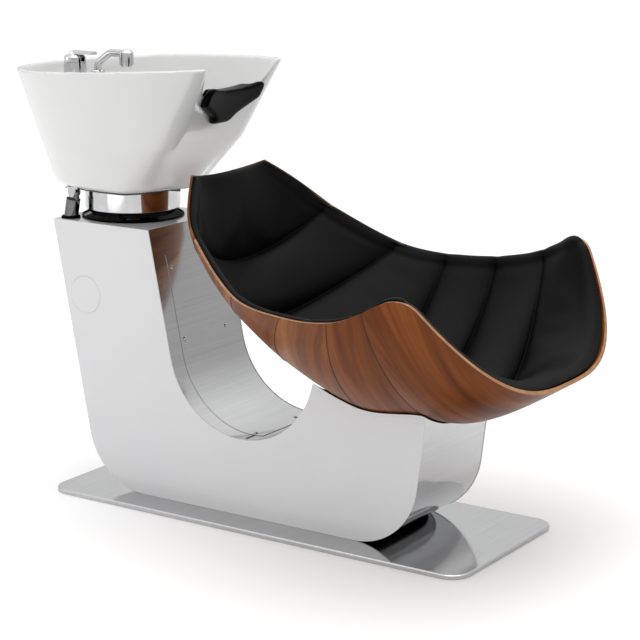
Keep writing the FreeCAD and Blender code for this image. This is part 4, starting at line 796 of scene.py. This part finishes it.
def coverGrid():
    # for every row and column: the station on the shell, the share and the point under the cushion
    count = cushionPlan["columns"]
    shares = [math.sin(math.pi / 2 * n / count) for n in range(-count, count + 1)]
    panels = len(cushionPlan["rows"]) - 1
    places = [panel + step for panel in range(panels) for step in cushionPlan["steps"]]
    places.append(float(panels))
    stations = []
    for place in places:
        plane = rowPlane(place)
        half = [stationOn(plane, share) for share in shares[count:]]
        stations.append(half[:0:-1] + half)
    under = [[shellPoint(station, share, cushionPlan["under"]) for station, share in zip(line, shares)]
             for line in stations]
    return shares, places, stations, under


def coverThickness(place, share, fromChannel, fromSide, fromEnd):
    # fromChannel holds the distances to the row before and the row after
    plan = cushionPlan
    step = place - int(place)
    swell = (4 * step * (1 - step)) ** 0.5
    thick = plan["base"] + plan["crown"] * (1 - abs(share) ** plan["crownPower"]) * swell
    for channel, away in fromChannel:
        if 0 < channel < len(plan["rows"]) - 1:
            least = plan["sideFade"][channel - 1]
            fade = least + (1 - least) * min(1.0, fromSide / plan["fadeRun"]) ** 1.5
            thick -= plan["groove"] * fade * math.exp(-away / plan["grooveWidth"])
    edge = min(fromSide - plan["borderRun"][0], fromEnd - plan["borderRun"][1])
    thick -= plan["borderDip"] * math.exp(-(edge / plan["borderWidth"]) ** 2)
    return thick * endShare(fromEnd) + plan["endLeast"]


def endShare(fromEnd):
    return math.sqrt(max(0.0, 1 - (1 - min(1.0, fromEnd / cushionPlan["endRound"])) ** 2))


def coverPoints():
    # each row is a ring: over the top from side to side, then back underneath
    shares, places, stations, under = coverGrid()
    columns = [lengthsAlong(line) for line in zip(*under)]
    acrossRows = [lengthsAlong(line) for line in under]
    perPanel = len(cushionPlan["steps"])
    panels = len(cushionPlan["rows"]) - 1
    outward, drop, dropStep = cushionPlan["tuck"]
    firstEnd, lastEnd = cushionPlan["sewnEnds"]
    rings = []
    held = []
    for number, place in enumerate(places):
        panel = min(int(place), panels - 1)
        top = []
        for column, share in enumerate(shares):
            run = columns[column][number]
            fromEnd = min(run, columns[column][-1] - run)
            across = acrossRows[number]
            fromSide = min(across[column], across[-1] - across[column])
            fromChannel = [(panel, run - columns[column][panel * perPanel]),
                           (panel + 1, columns[column][(panel + 1) * perPanel] - run)]
            thick = coverThickness(place, share, fromChannel, fromSide, fromEnd)
            top.append(shellPoint(stations[number][column], share, cushionPlan["under"] + thick))
        ends = []
        for share, column in ((-1, 0), (1, len(shares) - 1)):
            station = stations[number][column]
            rim, keel, power = ribAt(station)
            along = Vector((rim.x - keel.x, 0, rim.z - keel.z)).normalized()
            run = columns[column][number]
            rise = max(cushionPlan["rollLeast"], endShare(min(run, columns[column][-1] - run)))
            dip = 1.0
            for channel in range(1, panels):
                away = abs(run - columns[column][channel * perPanel])
                dip -= cushionPlan["rollDip"] * math.exp(-away / cushionPlan["rollDipWidth"])
            low = cushionPlan["under"]
            over = [shellPoint(station, share, low + (inset - low) * rise) + along * lift * rise * dip
                    for inset, lift in cushionPlan["roll"]]
            back = [shellPoint(station, share, low - outward)
                    - along * (drop + dropStep * n) for n in range(len(over))]
            ends.append((over, back))
        ring = ends[0][0] + top[1:-1] + ends[1][0][::-1]
        ring += ends[1][1] + under[number][-2:0:-1] + ends[0][1][::-1]
        rings.append([roundedTip(point) for point in ring])
        fromRow = min(place - int(place), 1 - place + int(place))
        sewn = fromRow < cushionPlan["sewnShare"] or place < firstEnd or place > panels - lastEnd
        # what is left free runs from the third point of one roll to the third last of the other
        topEnd = len(shares) - 2 + 2 * len(cushionPlan["roll"]) - 3
        held.append([sewn or not 2 < n < topEnd for n in range(len(ring))])
    return rings, held


def coverMesh(rings):
    work = bmesh.new()
    lines = [[work.verts.new(point) for point in ring] for ring in rings]
    size = len(rings[0])
    for first, second in zip(lines, lines[1:]):
        for n in range(size):
            after = (n + 1) % size
            work.faces.new((first[n], first[after], second[after], second[n]))
    for line in (lines[0], lines[-1]):
        for n in range(size // 2 - 1):
            work.faces.new((line[n], line[n + 1], line[size - 2 - n], line[size - 1 - n]))
    bmesh.ops.recalc_face_normals(work, faces=work.faces)
    return work


stuffing = {"quality": 4, "mass": 0.3, "tension": 30, "compression": 20, "shear": 10, "bending": 3,
            "pressure": 3.0, "frames": 9, "mostRise": 0.009}


def stuffed(piece, held):
    # cloth under pressure; the underside and the sewn lines stay where they are
    sewn = piece.vertex_groups.new(name="sewn")
    sewn.add([n for n, fixed in enumerate(held) if fixed], 1.0, "REPLACE")
    start = [v.co.copy() for v in piece.data.vertices]
    cloth = piece.modifiers.new("stuffing", "CLOTH")
    cloth.settings.quality = stuffing["quality"]
    cloth.settings.mass = stuffing["mass"]
    cloth.settings.tension_stiffness = stuffing["tension"]
    cloth.settings.compression_stiffness = stuffing["compression"]
    cloth.settings.shear_stiffness = stuffing["shear"]
    cloth.settings.bending_stiffness = stuffing["bending"]
    cloth.settings.use_pressure = True
    cloth.settings.uniform_pressure_force = stuffing["pressure"]
    cloth.settings.vertex_group_mass = "sewn"
    cloth.settings.effector_weights.gravity = 0
    cloth.collision_settings.use_collision = False
    cloth.point_cache.frame_start = 1
    cloth.point_cache.frame_end = stuffing["frames"]
    scene = bpy.context.scene
    for number in range(1, stuffing["frames"] + 1):
        scene.frame_set(number)
    shaped = piece.evaluated_get(bpy.context.evaluated_depsgraph_get())
    moved = [v.co.copy() for v in shaped.data.vertices]
    piece.modifiers.clear()
    scene.frame_set(1)
    most = 0
    for v, before, after in zip(piece.data.vertices, start, moved):
        step = after - before
        most = max(most, step.length)
        if step.length > stuffing["mostRise"]:
            step = step * (stuffing["mostRise"] / step.length)
        v.co = before + step
    print(piece.name, held.count(False), "free points of", len(start), "moved up to", round(most, 4))


def makeCushion():
    rings, held = coverPoints()
    work = coverMesh(rings)
    mesh = bpy.data.meshes.new("loungeCushion")
    work.to_mesh(mesh)
    work.free()
    piece = placed("loungeCushion", mesh)
    dress(piece, finishes["leatherette"])
    held = [fixed for ring in held for fixed in ring]
    stuffed(piece, held)
    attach(piece, "pedestal")
    relaxed(piece, cushionPlan["evenRounds"], cushionPlan["evenFactor"],
            [n for n, fixed in enumerate(held) if not fixed])
    finer = piece.modifiers.new("finer", "SUBSURF")
    finer.levels = 1
    finer.render_levels = 1
    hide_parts(*["cushion_panel_%d" % n for n in range(1, 7)])
    print("cushion", len(piece.data.polygons), "faces")


makeCushion()

# Fine edges on everything that keeps its CAD shape

fineEdge = {"width": 0.0005, "angle": 40, "segments": 2}

for name, piece in nodes.items():
    smoothFaces(piece)
    if "custom_normal" in piece.data.attributes:
        piece.data.attributes.remove(piece.data.attributes["custom_normal"])
    weld = piece.modifiers.new("weld", "WELD")
    weld.merge_threshold = weldGap
    bevel = piece.modifiers.new("fineEdge", "BEVEL")
    bevel.width = fineEdge["width"]
    bevel.segments = fineEdge["segments"]
    bevel.limit_method = "ANGLE"
    bevel.angle_limit = math.radians(fineEdge["angle"])
    bevel.harden_normals = True
    bevel.use_clamp_overlap = True
